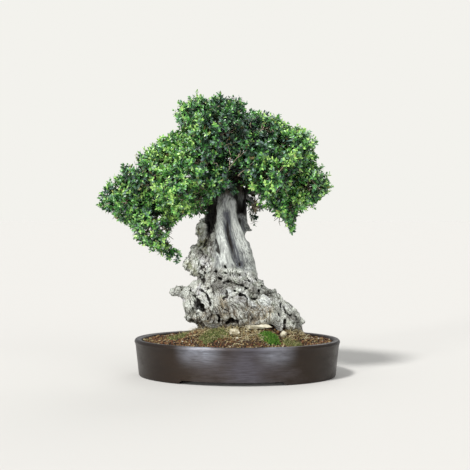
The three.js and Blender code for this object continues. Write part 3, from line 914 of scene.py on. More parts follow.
def thinned(piece, share):
    """Takes triangles away, most of them where the share is high, until TRUNK_TRIANGLES are left."""
    levels = 8
    group = piece.vertex_groups.new(name="thin")
    for level in range(1, levels + 1):
        chosen = np.flatnonzero(np.round(share * levels).astype(int) == level)
        group.add(chosen.tolist(), level / levels, "REPLACE")
    others = np.flatnonzero(share < 0.5 / levels)
    group.add(others.tolist(), 0.04, "REPLACE")
    modifier = piece.modifiers.new("thin", "DECIMATE")
    modifier.ratio = min(1, TRUNK_TRIANGLES / len(piece.data.polygons))
    modifier.vertex_group = group.name
    modifier.vertex_group_factor = 1
    with_modifiers(piece)
    piece.vertex_groups.clear()
    return piece


def limb_share(points):
    """1 on the limbs in the crown and 0 on the trunk."""
    x, z = points[..., 0], points[..., 2]
    wander = 8 * noise(points, 24, seed=6)
    side = smoothstep(95, 120, np.abs(x)) * smoothstep(250, 280, z)
    return np.clip(smoothstep(384, 404, z + wander) + side, 0, 1)


# The colours of the burls, the bare wood and the limbs, from dark to light.
BARK_STOPS = [
    (0.33, (0.10, 0.088, 0.068)), (0.44, (0.22, 0.21, 0.165)), (0.56, (0.42, 0.425, 0.355)),
    (0.72, (0.70, 0.71, 0.635)),
]
SILVER_STOPS = [(0.34, (0.15, 0.155, 0.15)), (0.46, (0.35, 0.37, 0.35)), (0.60, (0.58, 0.61, 0.56))]
# The limbs' colours are kept dark, partly as painted shade under the crown.
LIMB_STOPS = [(0.3, (0.03, 0.022, 0.016)), (0.55, (0.09, 0.068, 0.05)), (0.8, (0.20, 0.17, 0.135))]


def burl_colour(surface, where):
    """Pale grey-green weathered bark, dark between the ridges of its grain, and those ridges' height."""
    tan, white, pale, mossy, dark, base, edge = (
        surface.number(name) for name in ("tan", "white", "pale", "mossy", "dark", "base", "edge")
    )
    speck = surface.grain(where, 330, 5, 0.7)
    light = surface.plus(surface.grain(where, 48, 5, 0.65), surface.times(pale, 0.34))
    light = surface.plus(light, 0.035)
    colour = surface.layered(
        surface.ramp(light, BARK_STOPS),
        ((0.36, 0.43, 0.32), surface.grain(where, 70, 4), (0.50, 0.62), (0, 0.6)),  # lichen
        ((0.60, 0.59, 0.645), surface.grain(where, 38, 4), (0.52, 0.62), (0, 0.55)),  # bleached
        ((0.30, 0.235, 0.16), surface.grain(where, 95, 4, 0.6), (0.54, 0.66), (0, 0.45)),
        ((0.36, 0.255, 0.12), speck, (0.35, 0.6), (0.3, 0.8), tan),
        ((0.26, 0.275, 0.11), speck, (0.35, 0.6), (0.3, 0.8), mossy),
        ((0.74, 0.765, 0.70), speck, (0.34, 0.54), (0.25, 0.85), edge),
        # Dark bark, and painted shadow under the overhangs and at the base.
        ((0.06, 0.048, 0.04), speck, (0.36, 0.60), (0.97, 0.5), dark),
        ((0.11, 0.072, 0.035), light, (0.40, 0.68), (0.95, 0.4), base),
    )

    wandering = surface.times(surface.grain(where, 150, 3, 0.6), 1.3)
    phase = surface.plus(surface.number("phase"), wandering)
    waves = [surface.math("SINE", surface.times(phase, count * math.pi)) for count in (1, 2)]
    broad, fine = (surface.math("ABSOLUTE", wave) for wave in waves)
    often = surface.stretch(surface.grain(where, 55, 3), 0.40, 0.56, 0.1, 0.85)
    often = surface.times(often, surface.stretch(pale, 0, 1, 1, 0.55))
    seldom = surface.stretch(surface.grain(where, 75, 3), 0.44, 0.58, 0.1, 0.8)
    push = surface.grain(where, 110, 2, 0.5, "Color")
    bent = surface.math("MULTIPLY_ADD", push, (0.009,) * 3, where, kind="ShaderNodeVectorMath")
    flakes = surface.node("ShaderNodeTexVoronoi", {"feature": "DISTANCE_TO_EDGE"}, Vector=bent, Scale=180)
    flaky = surface.stretch(surface.grain(where, 46, 3), 0.46, 0.60, 0.0, 0.6)
    flaky = surface.times(flaky, surface.stretch(pale, 0, 1, 1, 0.5))
    colour = surface.layered(
        colour,
        ((0.07, 0.06, 0.05), broad, (0.0, 0.5), (1, 0), often),  # the grain's clefts, then its crests
        ((0.70, 0.725, 0.665), broad, (0.55, 1.0), (0, 0.5), often),
        ((0.10, 0.09, 0.075), fine, (0.0, 0.6), (1, 0), seldom),
        ((0.15, 0.13, 0.105), speck, (0.36, 0.50), (0.4, 0)),
        ((0.79, 0.82, 0.795), speck, (0.34, 0.54), (0.25, 0.88), white),
        ((0.075, 0.065, 0.05), flakes.outputs["Distance"], (0.0, 0.14), (1, 0), flaky),
    )
    cleft = surface.times(surface.stretch(flakes.outputs["Distance"], 0.0, 0.14, 1, 0), flaky)
    ridges = surface.plus(surface.times(broad, 0.5), surface.times(fine, 0.4))
    ridges = surface.math("SUBTRACT", ridges, surface.times(cleft, 0.7))
    return colour, surface.plus(ridges, surface.times(speck, 0.7))


def silver_colour(surface):
    """Bare wood silvered by the weather, with streaks along its grain, and those streaks."""
    groove_shade, ridge, scoop_shade = (surface.number(name) for name in ("groove_shade", "ridge", "scoop_shade"))
    along = surface.number("flow", "Vector")
    streak = surface.grain(along, 480, 5, 0.65)
    broad = surface.grain(along, 120, 4, 0.6)
    # Painted shade: the bare wood darkens towards the top, where the crown shades it.
    height = surface.node("ShaderNodeSeparateXYZ", Vector=surface.place()).outputs["Z"]
    crown_shade = surface.plus(height, surface.times(broad, 0.08))
    colour = surface.ramp(broad, SILVER_STOPS)
    colour = surface.layered(colour, ((0.70, 0.73, 0.68), broad, (0.34, 0.50), (0.7, 1.0), ridge))
    # Painted shade: the scoop on the right is darker and bluish.
    colour = surface.mix(surface.times(scoop_shade, 0.85), colour, (0.20, 0.215, 0.23))
    return streak, surface.layered(
        colour,
        ((0.15, 0.155, 0.155), crown_shade, (0.34, 0.44), (0, 0.66)),
        ((0.085, 0.085, 0.09), streak, (0.38, 0.52), (0.85, 0), surface.stretch(ridge, 0, 1, 1, 0.6)),
        ((0.12, 0.12, 0.125), surface.grain(along, 900, 3, 0.6), (0.40, 0.50), (0.5, 0)),
        ((0.74, 0.77, 0.72), streak, (0.55, 0.66), (0, 0.55)),
        # Painted shade along the dark groove.
        ((0.055, 0.058, 0.072), streak, (0.42, 0.62), (0.97, 0.6), groove_shade),
    )


def wood_material():
    surface = Surface("weathered_olive_wood", Specular_IOR_Level=0.2)
    where = surface.place()
    bare, limb, hollow_shade = (surface.number(name) for name in ("bare", "limb", "hollow_shade"))
    streak, silver = silver_colour(surface)
    burl, ridges = burl_colour(surface, where)
    colour = surface.mix(bare, burl, silver)
    colour = surface.mix(limb, colour, surface.ramp(surface.grain(where, 60, 5, 0.6), LIMB_STOPS))
    # Painted shade: the hollows, recesses and cracks go nearly black.
    colour = surface.mix(surface.times(hollow_shade, 0.97), colour, (0.014, 0.012, 0.011))
    # Painted shade in the crevices and the deep places.
    colour = surface.layered(
        colour,
        ((0.016, 0.013, 0.010), surface.number("cavity_shade"), (0.3, 0.8), (0, 0.95)),
        ((0.03, 0.024, 0.018), surface.number("deep_shade"), (0.45, 1.0), (0, 0.8)),
    )
    relief = surface.mix(bare, ridges, surface.times(streak, 1.3))
    return surface.finish(colour, surface.grain(where, 300, 5, 0.7), (0.62, 0.9), (relief, 0.0032, 1.0))


# ---- the pot


def pot_profile():
    """The pot's section from under its floor round the foot, up the wall, over the rim and down inside."""
    under = [(FOOT_WIDTH + 40, FLOOR_UNDER), (FOOT_WIDTH + 4, FLOOR_UNDER), (FOOT_WIDTH, FLOOR_UNDER - 2)]
    heights = np.linspace(2.5, POT_HEIGHT - LIP_HEIGHT, 20)
    lean = (1 - POT_TAPER) * POT_HALF_LENGTH - LIP_FLARE
    to_lip = smoothstep(POT_HEIGHT - 2 * LIP_HEIGHT, POT_HEIGHT - 0.8 * LIP_HEIGHT, heights)
    wall = list(zip(lean * (1 - heights / POT_HEIGHT) + LIP_FLARE * (1 - to_lip), heights))
    toe = lean + LIP_FLARE
    foot = [(FOOT_WIDTH - 1, 0.8), (FOOT_WIDTH - 2, 0), (toe + 5, 0), (toe + 2, 0), (toe + 0.6, 0.7)]
    turns = np.radians(np.linspace(0, 90, 9))[1:]
    lip_heights = POT_HEIGHT - LIP_HEIGHT + LIP_HEIGHT * np.sin(turns)
    outer = list(zip(LIP_WIDTH - LIP_WIDTH * np.cos(turns), lip_heights))
    inner = [(RIM_WIDTH - inset, POT_HEIGHT - drop) for inset, drop in ((5, 0.4), (2, 1.6), (0, 4.5))]
    inside = [(RIM_WIDTH + 1, 60), (RIM_WIDTH + 4, 34), (RIM_WIDTH + 9, 24), (RIM_WIDTH + 17, FLOOR_TOP)]
    return under + foot + wall + outer + inner + inside


def make_pot():
    profile = pot_profile()
    angles = np.linspace(0, 2 * math.pi, POT_SEGMENTS, endpoint=False)
    rings = []
    for inset, z in profile:
        x, y = (POT_HALF_LENGTH - inset) * np.cos(angles), (POT_HALF_DEPTH - inset) * np.sin(angles)
        rings.append(np.stack([x, y, 0 * angles + z], 1))
    here = np.arange(POT_SEGMENTS)
    after = (here + 1) % POT_SEGMENTS
    band = np.stack([here, after, after + POT_SEGMENTS, here + POT_SEGMENTS], 1)
    starts = POT_SEGMENTS * np.arange(len(profile))
    faces = np.concatenate([band + start for start in starts[:-1]])
    piece = mesh_from("pot_shell", np.concatenate(rings), faces)
    close_rings(piece, [0, starts[-1]], POT_SEGMENTS)
    for cutter in (foot_cutter(), drain_cutter(-DRAIN_X), drain_cutter(DRAIN_X)):
        cut(piece, cutter)
    shade_by_angle(piece, 35)
    finish_piece(piece, stoneware_material(), "stoneware", "pot")


def cut(piece, cutter):
    """Cuts a cutter's shape out of the piece."""
    modifier = piece.modifiers.new("cut", "BOOLEAN")
    modifier.operation = "DIFFERENCE"
    modifier.solver = "EXACT"
    modifier.object = cutter
    with_modifiers(piece)
    bpy.data.objects.remove(cutter)


def shade_by_angle(piece, degrees):
    piece.data.set_sharp_from_angle(angle=math.radians(degrees))


def foot_cutter():
    """The slant-ended gap between the two end feet."""
    bottom, top, reach = FOOT_CUT_BOTTOM / 2, FOOT_CUT_TOP / 2, POT_HALF_DEPTH + 20
    outline = [(-bottom - 0.6, -1), (bottom + 0.6, -1), (top, FLOOR_UNDER - 0.2), (-top, FLOOR_UNDER - 0.2)]
    points = [(x, y, z) for y in (-reach, reach) for x, z in outline]
    return rework(mesh_from("foot_cutter", points, BOX_FACES, smooth=False), turn_outwards)


def drain_cutter(x):
    sides = 40
    turns = np.linspace(0, 2 * math.pi, sides, False)
    ring = [(x + DRAIN_RADIUS * math.cos(a), DRAIN_RADIUS * math.sin(a)) for a in turns]
    points = [(px, py, z) for z in (FLOOR_UNDER - 5, FLOOR_TOP + 5) for px, py in ring]
    faces = [(i, (i + 1) % sides, sides + (i + 1) % sides, sides + i) for i in range(sides)]
    return close_rings(mesh_from("drain_cutter", points, faces), [0, sides], sides)


# The pot's colours from its middle out to its ends: lighter and bluer in the middle as a painted sheen, and
# darker at the ends as painted dark reflections.
POT_SHEEN_STOPS = [
    (0.30, (0.070, 0.066, 0.080)), (0.55, (0.040, 0.033, 0.033)),
    (0.72, (0.013, 0.007, 0.0035)), (1.0, (0.006, 0.003, 0.0015)),
]


def painted_sheen(surface, axes, worn):
    """A painted sheen: lighter places under the rim, which fade down the wall. The left one is the larger.
    """
    below_rim = surface.math("POWER", surface.stretch(axes["Z"], 0.012, 0.076), 2.2)
    across = surface.math("SUBTRACT", axes["X"], float(ORIGIN[0]))
    total = 0.0
    for place, reach, strength in ((-0.066, 0.060, 1.0), (0.092, 0.050, 0.75)):
        away = surface.math("ABSOLUTE", surface.math("SUBTRACT", across, place))
        total = surface.plus(surface.stretch(away, 0, reach, strength, 0), total)
    return surface.times(surface.times(total, below_rim), surface.stretch(worn, 0.36, 0.60, 0.5, 1))


def stoneware_material():
    constants = {"Specular_IOR_Level": 0.3, "Coat_Weight": 0.15, "Coat_Roughness": 0.26}
    surface = Surface("dark_stoneware", Specular_Tint=(1.0, 0.85, 0.73), **constants)
    brushed = surface.grain(surface.place((5, 5, 120)), 8, 5, 0.62)
    worn = surface.grain(surface.place((2.2, 2.2, 5)), 9)
    clay = surface.grain(surface.place(), 900, 3, 0.6)
    axes = surface.node("ShaderNodeSeparateXYZ", Vector=surface.place()).outputs
    # Painted sheen and reflections: the colour runs from light and bluish in the middle to dark at the ends.
    from_middle = surface.math("ABSOLUTE", surface.math("SUBTRACT", axes["X"], float(ORIGIN[0]) + 0.025))
    sheen_falloff = surface.plus(surface.times(from_middle, 3.6), surface.times(worn, 0.6))
    colour = surface.mix(painted_sheen(surface, axes, worn), surface.ramp(sheen_falloff, POT_SHEEN_STOPS), (0.33, 0.35, 0.41))
    colour = surface.layered(
        colour,
        ((0.008, 0.005, 0.005), brushed, (0.35, 0.62), (0.5, 0)),
        ((0.10, 0.085, 0.07), clay, (0.62, 0.75), (0, 0.2)),
    )
    return surface.finish(colour, worn, (0.34, 0.5), (surface.mix(0.3, brushed, clay), 0.0007, 0.6))


# ---- soil and its grains


def soil_height():
    """A function that gives the height of the CAD soil's top at rows of (x, y)."""
    tree = tree_of("soil")
    half = [int(reach // SOIL_STEP) for reach in (POT_HALF_LENGTH, POT_HALF_DEPTH)]
    table = np.full([2 * steps + 1 for steps in half], float(SOIL_EDGE))
    for i, j in np.ndindex(*table.shape):
        above = Vector(((i - half[0]) * SOIL_STEP, (j - half[1]) * SOIL_STEP, 200))
        hit = tree.ray_cast(above, Vector((0, 0, -1)))[0]
        if hit is not None and hit.z > SOIL_LOWEST:
            table[i, j] = hit.z

    def top(places):
        q = [np.clip(places[:, k] / SOIL_STEP + half[k], 0, table.shape[k] - 1.001) for k in range(2)]
        cell = [a.astype(int) for a in q]
        part = [a - c for a, c in zip(q, cell)]
        total = 0
        for i, j in np.ndindex(2, 2):
            share = (part[0] if i else 1 - part[0]) * (part[1] if j else 1 - part[1])
            total = total + share * table[cell[0] + i, cell[1] + j]
        return total

    return top


def make_soil(soil_top):
    """The earth under the grains."""
    length, depth = POT_HALF_LENGTH - RIM_WIDTH - 1.2, POT_HALF_DEPTH - RIM_WIDTH - 1.2
    rings, segments = 46, 150
    shares = np.sqrt(np.linspace(0, 1, rings + 1))[1:]
    angles = np.linspace(0, 2 * math.pi, segments, endpoint=False)
    flat = [(s * length * math.cos(a), s * depth * math.sin(a)) for s in shares for a in angles]
    spread = np.array([(0, 0), *flat])
    top = np.column_stack([spread, soil_top(spread) - 1.2])
    top[:, 2] += 0.9 * fractal(top, 9, 3, seed=90)
    below = np.array([*flat[-segments:], (0, 0)])
    bottom = np.column_stack([below, np.full(len(below), FLOOR_TOP + 6.0)])
    earth = mesh_from("soil_bed", np.concatenate([top, bottom]), closed_disc(rings, segments))
    finish_piece(earth, earth_material(), "soil", "soil")


def make_grains(soil_top, trunk_solid):
    """The loose grains of grit on the earth, but for where the trunk stands."""
    rng = np.random.default_rng(7)
    half_length, half_depth = POT_HALF_LENGTH - RIM_WIDTH - 3, POT_HALF_DEPTH - RIM_WIDTH - 3
    tried = rng.uniform(-1, 1, (3 * GRAINS, 2)) * (half_length, half_depth)
    inside = (tried[:, 0] / half_length) ** 2 + (tried[:, 1] / half_depth) ** 2 < 1
    tried = tried[inside]
    centre = np.column_stack([tried, soil_top(tried) + rng.uniform(-0.8, 1.3, len(tried))])
    clear = trunk_solid.sample(trunk_solid.field, centre) > 0.5
    centre = centre[clear][:GRAINS]
    count = len(centre)
    sides = [(-1, -1), (1, -1), (1, 1), (-1, 1)]
    corners = np.array([(x, y, z) for z in (-1, 1) for x, y in sides], float) * 0.62
    size = GRAIN_SIZE / 2 * rng.lognormal(0, 0.28, (count, 1, 1)) * rng.uniform(0.75, 1.2, (count, 1, 3))
    shape = corners * rng.uniform(0.55, 1.25, (count, 8, 3)) * size
    turned = np.einsum("nij,nkj->nki", random_turns(rng, count), shape)
    points = (centre[:, None] + turned).reshape(-1, 3)
    triangles = (halved(BOX_FACES) + 8 * np.arange(count)[:, None, None]).reshape(-1, 3)
    piece = mesh_from("grit", points, triangles, smooth=False)
    set_values(piece, "kind", np.repeat(rng.random(count), 8))
    finish_piece(piece, grit_material(), "soil")


def random_turns(rng, count):
    """Rotation matrices for turns about random axes."""
    q = unit(rng.normal(size=(count, 4)))
    w, x, y, z = q.T
    rows = [
        [1 - 2 * (y * y + z * z), 2 * (x * y - z * w), 2 * (x * z + y * w)],
        [2 * (x * y + z * w), 1 - 2 * (x * x + z * z), 2 * (y * z - x * w)],
        [2 * (x * z - y * w), 2 * (y * z + x * w), 1 - 2 * (x * x + y * y)],
    ]
    return np.array(rows).transpose(2, 0, 1)


def square_to(ahead):
    """Two directions square to each direction and to each other."""
    reference = np.where(np.abs(ahead[..., 2:3]) > 0.9, [1.0, 0, 0], UP)
    across = unit(np.cross(ahead, reference))
    return across, np.cross(across, ahead)


# The colours of the earth and of the grains of grit.
EARTH_STOPS = [(0.35, (0.018, 0.011, 0.007)), (0.55, (0.07, 0.038, 0.022)), (0.75, (0.15, 0.09, 0.05))]
GRIT_STOPS = [
    (0.0, (0.034, 0.022, 0.013)), (0.17, (0.14, 0.055, 0.026)), (0.36, (0.22, 0.095, 0.040)),
    (0.52, (0.29, 0.175, 0.070)), (0.68, (0.40, 0.29, 0.13)), (0.80, (0.20, 0.17, 0.055)),
    (0.88, (0.085, 0.060, 0.03)), (0.93, (0.55, 0.46, 0.26)), (0.98, (0.68, 0.63, 0.50)),
]


def earth_material():
    surface = Surface("damp_earth", Specular_IOR_Level=0.3)
    clod = surface.grain(surface.place(), 260, 5, 0.65)
    return surface.finish(surface.ramp(clod, EARTH_STOPS), clod, (0.95, 0.75), (clod, 0.002, 1.0))


def grit_material():
    surface = Surface("lava_and_clay_grit", Specular_IOR_Level=0.3)
    pore = surface.grain(surface.place(), 1300, 3, 0.7)
    colour = surface.ramp(surface.number("kind"), GRIT_STOPS, "CONSTANT")
    colour = surface.layered(colour, ((0.02, 0.012, 0.008), pore, (0.35, 0.65), (0.6, 0)))
    return surface.finish(colour, pore, (0.92, 0.7), (pore, 0.0006, 0.8))


# ---- twigs and leaves


def tubes(paths, radii, sides):
    """Tapering tubes along paths (tubes, stations, 3) with radii (tubes, stations)."""
    count, stations = radii.shape
    ahead = unit(np.gradient(paths, axis=1))
    across, over = square_to(ahead)
    turns = np.arange(sides) * 2 * math.pi / sides
    ring = across[:, :, None] * np.cos(turns)[:, None] + over[:, :, None] * np.sin(turns)[:, None]
    points = paths[:, :, None] + ring * radii[:, :, None, None]
    start = (np.arange(count) * stations * sides)[:, None, None]
    level = (np.arange(stations - 1) * sides)[None, :, None]
    here = np.arange(sides)[None, None]
    there = (here + 1) % sides
    a, b = start + level + here, start + level + there
    triangles = halved(np.stack([a, b, b + sides, a + sides], axis=-1).reshape(-1, 4))
    if sides == 3:
        last = (start[:, 0, 0] + (stations - 1) * sides)[:, None]
        triangles = np.concatenate([triangles, last + np.array([[0, 1, 2]])])
    return points.reshape(-1, 3), triangles


def bent_paths(start, middle, end, stations, rng, wobble):
    """Curves from start past middle to end, a little crooked."""
    t = np.linspace(0, 1, stations)[None, :, None]
    line = (1 - t) ** 2 * start[:, None] + 2 * t * (1 - t) * middle[:, None] + t**2 * end[:, None]
    crook = rng.normal(0, wobble, line.shape) * np.sin(math.pi * t)
    return line + crook


def tapered(paths, first, last, sides=3):
    """Tubes along paths, with a radius that goes from first to last."""
    radii = np.linspace(first, last, paths.shape[1])[None].repeat(len(paths), 0)
    return tubes(paths, radii, sides)


def between(where, known, rows):
    """Rows at places between known ones."""
    return np.stack([np.interp(where, known, column) for column in rows.T], axis=-1)


def join_meshes(parts):
    """One set of points and faces from several."""
    points, faces, total = [], [], 0
    for some, triangles in parts:
        points.append(some)
        faces.append(triangles + total)
        total += len(some)
    return np.concatenate(points), np.concatenate(faces)


# Along, across and up, as shares of a leaf's length, width and width: a folded hexagon with a bowed midrib.
LEAF_POINTS = np.array([
    [0, 0, 0], [0.34, 0.5, 0.16], [0.34, -0.5, 0.16], [0.74, 0.40, 0.06], [0.74, -0.40, 0.06],
    [1, 0, -0.16], [0.55, 0, 0.0],
])
LEAF_FACES = np.array([[0, 2, 6], [0, 6, 1], [6, 2, 4], [6, 3, 1], [6, 4, 5], [6, 5, 3]])


def leaf_blades(base, along, up, length, width, bow):
    """Leaves from rows of base points, directions and sizes."""
    across = unit(np.cross(up, along))
    up = unit(np.cross(along, across))
    s, t, n = (LEAF_POINTS[None, :, k, None] for k in range(3))
    length, width, bow = (value[:, None, None] for value in (length, width, bow))
    lift = n * width - bow * s * s * length
    base, along, across, up = (rows[:, None] for rows in (base, along, across, up))
    points = base + along * (s * length) + across * (t * width) + up * lift
    faces = LEAF_FACES + len(LEAF_POINTS) * np.arange(len(base))[:, None, None]
    return points.reshape(-1, 3), faces.reshape(-1, 3)


# The crown's edge in the picture, and the places where the wall shows through it.
CROWN_OUTLINE = [
    (96, 205), (101, 190), (106, 180), (113, 176), (120, 174), (121, 163), (129, 156), (138, 152),
    (144, 146), (152, 140), (162, 137), (174, 132), (183, 132), (178, 120), (175, 112), (178, 106),
    (184, 99), (192, 98), (199, 92), (207, 96), (219, 97), (228, 100), (238, 97), (243, 103), (243, 113),
    (250, 114), (254, 110), (261, 110), (267, 116), (274, 117), (281, 123), (288, 127), (296, 127),
    (304, 132), (312, 133), (316, 140), (315, 150), (313, 160), (315, 167), (321, 170), (327, 180),
    (327, 190), (322, 197), (314, 203), (307, 207), (299, 212), (294, 219), (294, 232), (289, 226),
    (284, 218), (272, 210), (264, 204), (257, 207), (255, 219), (249, 221), (247, 198), (236, 192),
    (222, 194), (214, 198), (209, 206), (203, 214), (190, 214), (179, 221), (173, 226), (169, 233),
    (166, 240), (176, 252), (181, 259), (178, 262), (171, 256), (156, 252), (149, 251), (144, 243),
    (138, 238), (133, 228), (126, 223), (118, 220), (112, 213), (104, 211), (98, 209),
]
CROWN_GAPS = [(190, 176, 6), (184, 133, 3.5), (253, 196, 5), (263, 201, 4)]  # with their radius
CROWN_AIRY = [  # with their radius and the share kept
    (160, 246, 24, 0.55), (288, 224, 12, 0.6), (108, 196, 14, 0.7), (200, 206, 12, 0.7),
    (238, 179, 12, 0.35),
]
CROWN_SHADY = [(236, 178, 20), (205, 158, 13), (247, 200, 14)]

# Single sprays that hang clear of the crown, as pixels with their depth behind the pot's middle, their tone
# and the space between their shoots.
SPRAYS = {
    "trailing": ([(150, 222, 0), (159, 238, -10), (167, 248, -14), (177, 257, -16)], 0.02, 5.0),
    "trailing_low": ([(140, 225, 0), (150, 240, -6), (160, 250, -10), (170, 255, -12)], 0.06, 5.5),
    "drooping": ([(279, 200, 0), (286, 213, -20), (292, 228, -26)], 0.08, 4.5),
    "shaded": ([(238, 190, 30), (249, 205, 34), (254, 219, 36)], -0.12, 9),
    "shaded_short": ([(240, 192, 25), (256, 203, 30), (260, 209, 32)], -0.10, 9),
    "over_trunk_left": ([(222, 150, 0), (221, 166, -50), (218, 186, -62)], 0.0, 4.5),
    "beside_neck": ([(214, 160, 0), (211, 178, -40), (207, 200, -48)], 0.0, 4.5),
}


# Bare branches that show through the front of the crown.
BARE_BRANCHES = [
    [(225, 180, -60), (229, 167, -78), (238, 157, -88), (247, 150, -92)],
    [(222, 178, -60), (217, 165, -78), (209, 158, -88), (204, 150, -90)],
    [(229, 167, -78), (231, 156, -88), (227, 145, -92), (229, 136, -92)],
    [(238, 176, -62), (249, 165, -80), (259, 159, -90), (266, 158, -92)],
    [(238, 157, -88), (243, 146, -93), (252, 141, -93)],
]


def pixels_of(points):
    """Where points show in the picture."""
    level, ahead, above = (np.array(axis) for axis in camera_axes())
    away = points - np.array(CAMERA_PLACE)
    share = FOCAL_PIXELS / (away @ ahead)
    middle = FRAME_PIXELS / 2
    return np.stack([middle + away @ level * share, middle - away @ above * share], axis=-1)


def away_from(x, y, pixels):
    """How far each pixel is from one place in the picture."""
    return np.hypot(pixels[:, 0] - x, pixels[:, 1] - y)


def within(outline, pixels):
    """Which pixels lie inside a closed outline."""
    x, y = pixels.T
    inside = np.zeros(len(pixels), bool)
    for (x1, y1), (x2, y2) in zip(outline, outline[1:] + outline[:1]):
        if y1 != y2:
            inside ^= ((y1 > y) != (y2 > y)) & (x < (x2 - x1) * (y - y1) / (y2 - y1) + x1)
    return inside


def shows_in_crown(points):
    """Which points show inside the crown's outline and not in its gaps."""
    pixels = pixels_of(points)
    kept = within(CROWN_OUTLINE, pixels)
    for x, y, radius in CROWN_GAPS:
        kept &= away_from(x, y, pixels) > radius
    return kept


def not_airy(points, rng):
    """Chooses all points but for a share of those where the crown is airy."""
    pixels = pixels_of(points)
    kept = np.ones(len(points), bool)
    for x, y, radius, share in CROWN_AIRY:
        kept &= (away_from(x, y, pixels) >= radius) | (rng.random(len(points)) < share)
    return kept


class Pad:
    """One cloud of foliage: an ellipsoid that fills the box of its CAD node."""

    def __init__(self, name, index, trunk_tree):
        self.name = name
        self.index = index
        low, high = box_of(name)
        self.middle = (low + high) / 2
        self.half = (high - low) / 2
        self.start = np.array(trunk_tree.find_nearest(Vector(self.middle))[0])

    def depth(self, points):
        """0 at the pad's middle, 1 on its outside."""
        return np.linalg.norm((points - self.middle) / self.half, axis=-1)

    def area(self):
        """Thomsen's formula for the surface of an ellipsoid, with its exponent rounded."""
        a, b, c = self.half
        return 4 * math.pi * (((a * b) ** 1.6 + (a * c) ** 1.6 + (b * c) ** 1.6) / 3) ** (1 / 1.6)


def sphere_points(count, rng):
    """Directions spread evenly over a sphere, with a little disorder."""
    i = np.arange(count) + 0.5
    height = 1 - 2 * i / count
    turn = i * math.pi * (3 - math.sqrt(5)) + rng.uniform(0, 2 * math.pi)
    flat = np.sqrt(1 - height**2)
    spread = np.stack([flat * np.cos(turn), flat * np.sin(turn), height], axis=-1)
    return unit(spread + rng.normal(0, 0.5 / math.sqrt(count), spread.shape))


def grow(pad, others, share):
    """The twigs and leaves of one pad."""
    rng = np.random.default_rng(100 + pad.index)
    shell = sphere_points(int(1.18 * SHOOTS / SPRIG_SHOOTS * share), rng)
    rough = noise(pad.middle + pad.half * shell, CLUMP_SIZE, seed=300)
    shell, rough = shell[rough > -0.38], rough[rough > -0.38]
    depth = 0.80 + 0.24 * rough + rng.uniform(-0.06, 0.06, len(shell))
    tips = pad.middle + pad.half * shell * depth[:, None]
    clear = np.all([other.depth(tips) >= 0.55 for other in others], axis=0)
    tips, rough = tips[clear], rough[clear]

    branch_ends = pad.middle + pad.half * 0.52 * sphere_points(15, rng)
    hub = pad.start + 0.55 * (pad.middle - pad.start) - (0, 0, 0.12 * pad.half[2])
    middle = hub + 0.35 * (branch_ends - hub) + rng.normal(0, 4, branch_ends.shape)
    start = np.repeat(pad.start[None], len(branch_ends), 0)
    branches = bent_paths(start, middle, branch_ends, 7, rng, 1.6)

    gap = np.linalg.norm(tips[:, None] - branch_ends[None], axis=-1)
    roots = branches[gap.argmin(1), rng.integers(3, 7, len(tips))]
    bend = roots + 0.45 * (tips - roots) + rng.normal(0, 4, tips.shape)
    sprigs = bent_paths(roots, bend, tips, 5, rng, 1.0)

    owner = np.repeat(np.arange(len(sprigs)), SPRIG_SHOOTS)
    step = rng.uniform(1.9, 4.0, len(owner))
    low = np.floor(step).astype(int)
    part = (step - low)[:, None]
    root = sprigs[owner, low] * (1 - part) + sprigs[owner, np.minimum(low + 1, 4)] * part
    outward = unit((root - pad.middle) / pad.half**2 * pad.half.mean())
    heading = unit(0.85 * outward + 0.5 * UP + rng.normal(0, 0.5, root.shape))
    reach = rng.uniform(12, 27, len(root))
    kept = shows_in_crown(root + heading * (reach * rng.uniform(0.45, 1.1, len(root)))[:, None])
    kept &= not_airy(root, rng)
    root, heading, reach, owner, step = (values[kept] for values in (root, heading, reach, owner, step))
    tone = shoot_tones(root, rough[owner], step, owner, rng)
    tip = root + heading * reach[:, None]
    bow = root + heading * (0.5 * reach[:, None]) + rng.normal(0, 1.2, root.shape)
    shoots = bent_paths(root, bow, tip, 3, rng, 0.4)

    stray = stray_twigs(pad, int(BARE_TWIGS * share), rng)
    barked = [tapered(branches, 2.6, 1.2, 5), tapered(stray, 0.85, 0.4)]
    young = [tapered(sprigs, 1.15, 0.6), tapered(shoots, 0.6, 0.35)]
    return barked, young, leaves_on(shoots, heading, tone, rng)


def stray_twigs(pad, count, rng):
    """Paths of bare twigs that wander through the outer leaves."""
    outward = sphere_points(count, rng)
    root = pad.middle + pad.half * outward * rng.uniform(0.8, 0.97, (count, 1))
    heading = unit(0.9 * outward + rng.normal(0, 0.75, root.shape))
    tip = root + heading * rng.uniform(18, 38, (count, 1))
    kept = shows_in_crown(tip) & (pad.depth(tip) < 1.08)
    root, tip = root[kept], tip[kept]
    middle = (root + tip) / 2 + rng.normal(0, 4, root.shape)
    return bent_paths(root, middle, tip, 6, rng, 0.8)


def shoot_tones(root, rough, step, owner, rng):
    """How light each shoot's leaves are. A few are fresh and pale. Those in the clumps' hollows, low on
    their sprigs or in the shady places are darker, as painted shade.
    """
    of_sprig = rng.normal(0, 0.09, owner.max() + 1)[owner] + rng.normal(0, 0.10, len(root))
    of_region = 0.09 * noise(root, 75, seed=310) + 0.24 * smoothstep(20, 120, np.abs(root[:, 0])) - 0.14
    # Painted shade for the shoots in the clumps' hollows and low on their sprigs.
    clump_shade = 0.30 * np.minimum(rough, 0.1) + 0.17 * np.minimum(step - 3.1, 0.5)
    fresh = np.where(rng.random(len(root)) < 0.05, 0.28, 0)
    pixels = pixels_of(root)
    shady = np.zeros(len(root))
    for x, y, radius in CROWN_SHADY:
        shady = np.maximum(shady, 1 - smoothstep(0.3 * radius, radius, away_from(x, y, pixels)))
    return of_sprig + of_region + clump_shade + fresh - 0.24 * shady


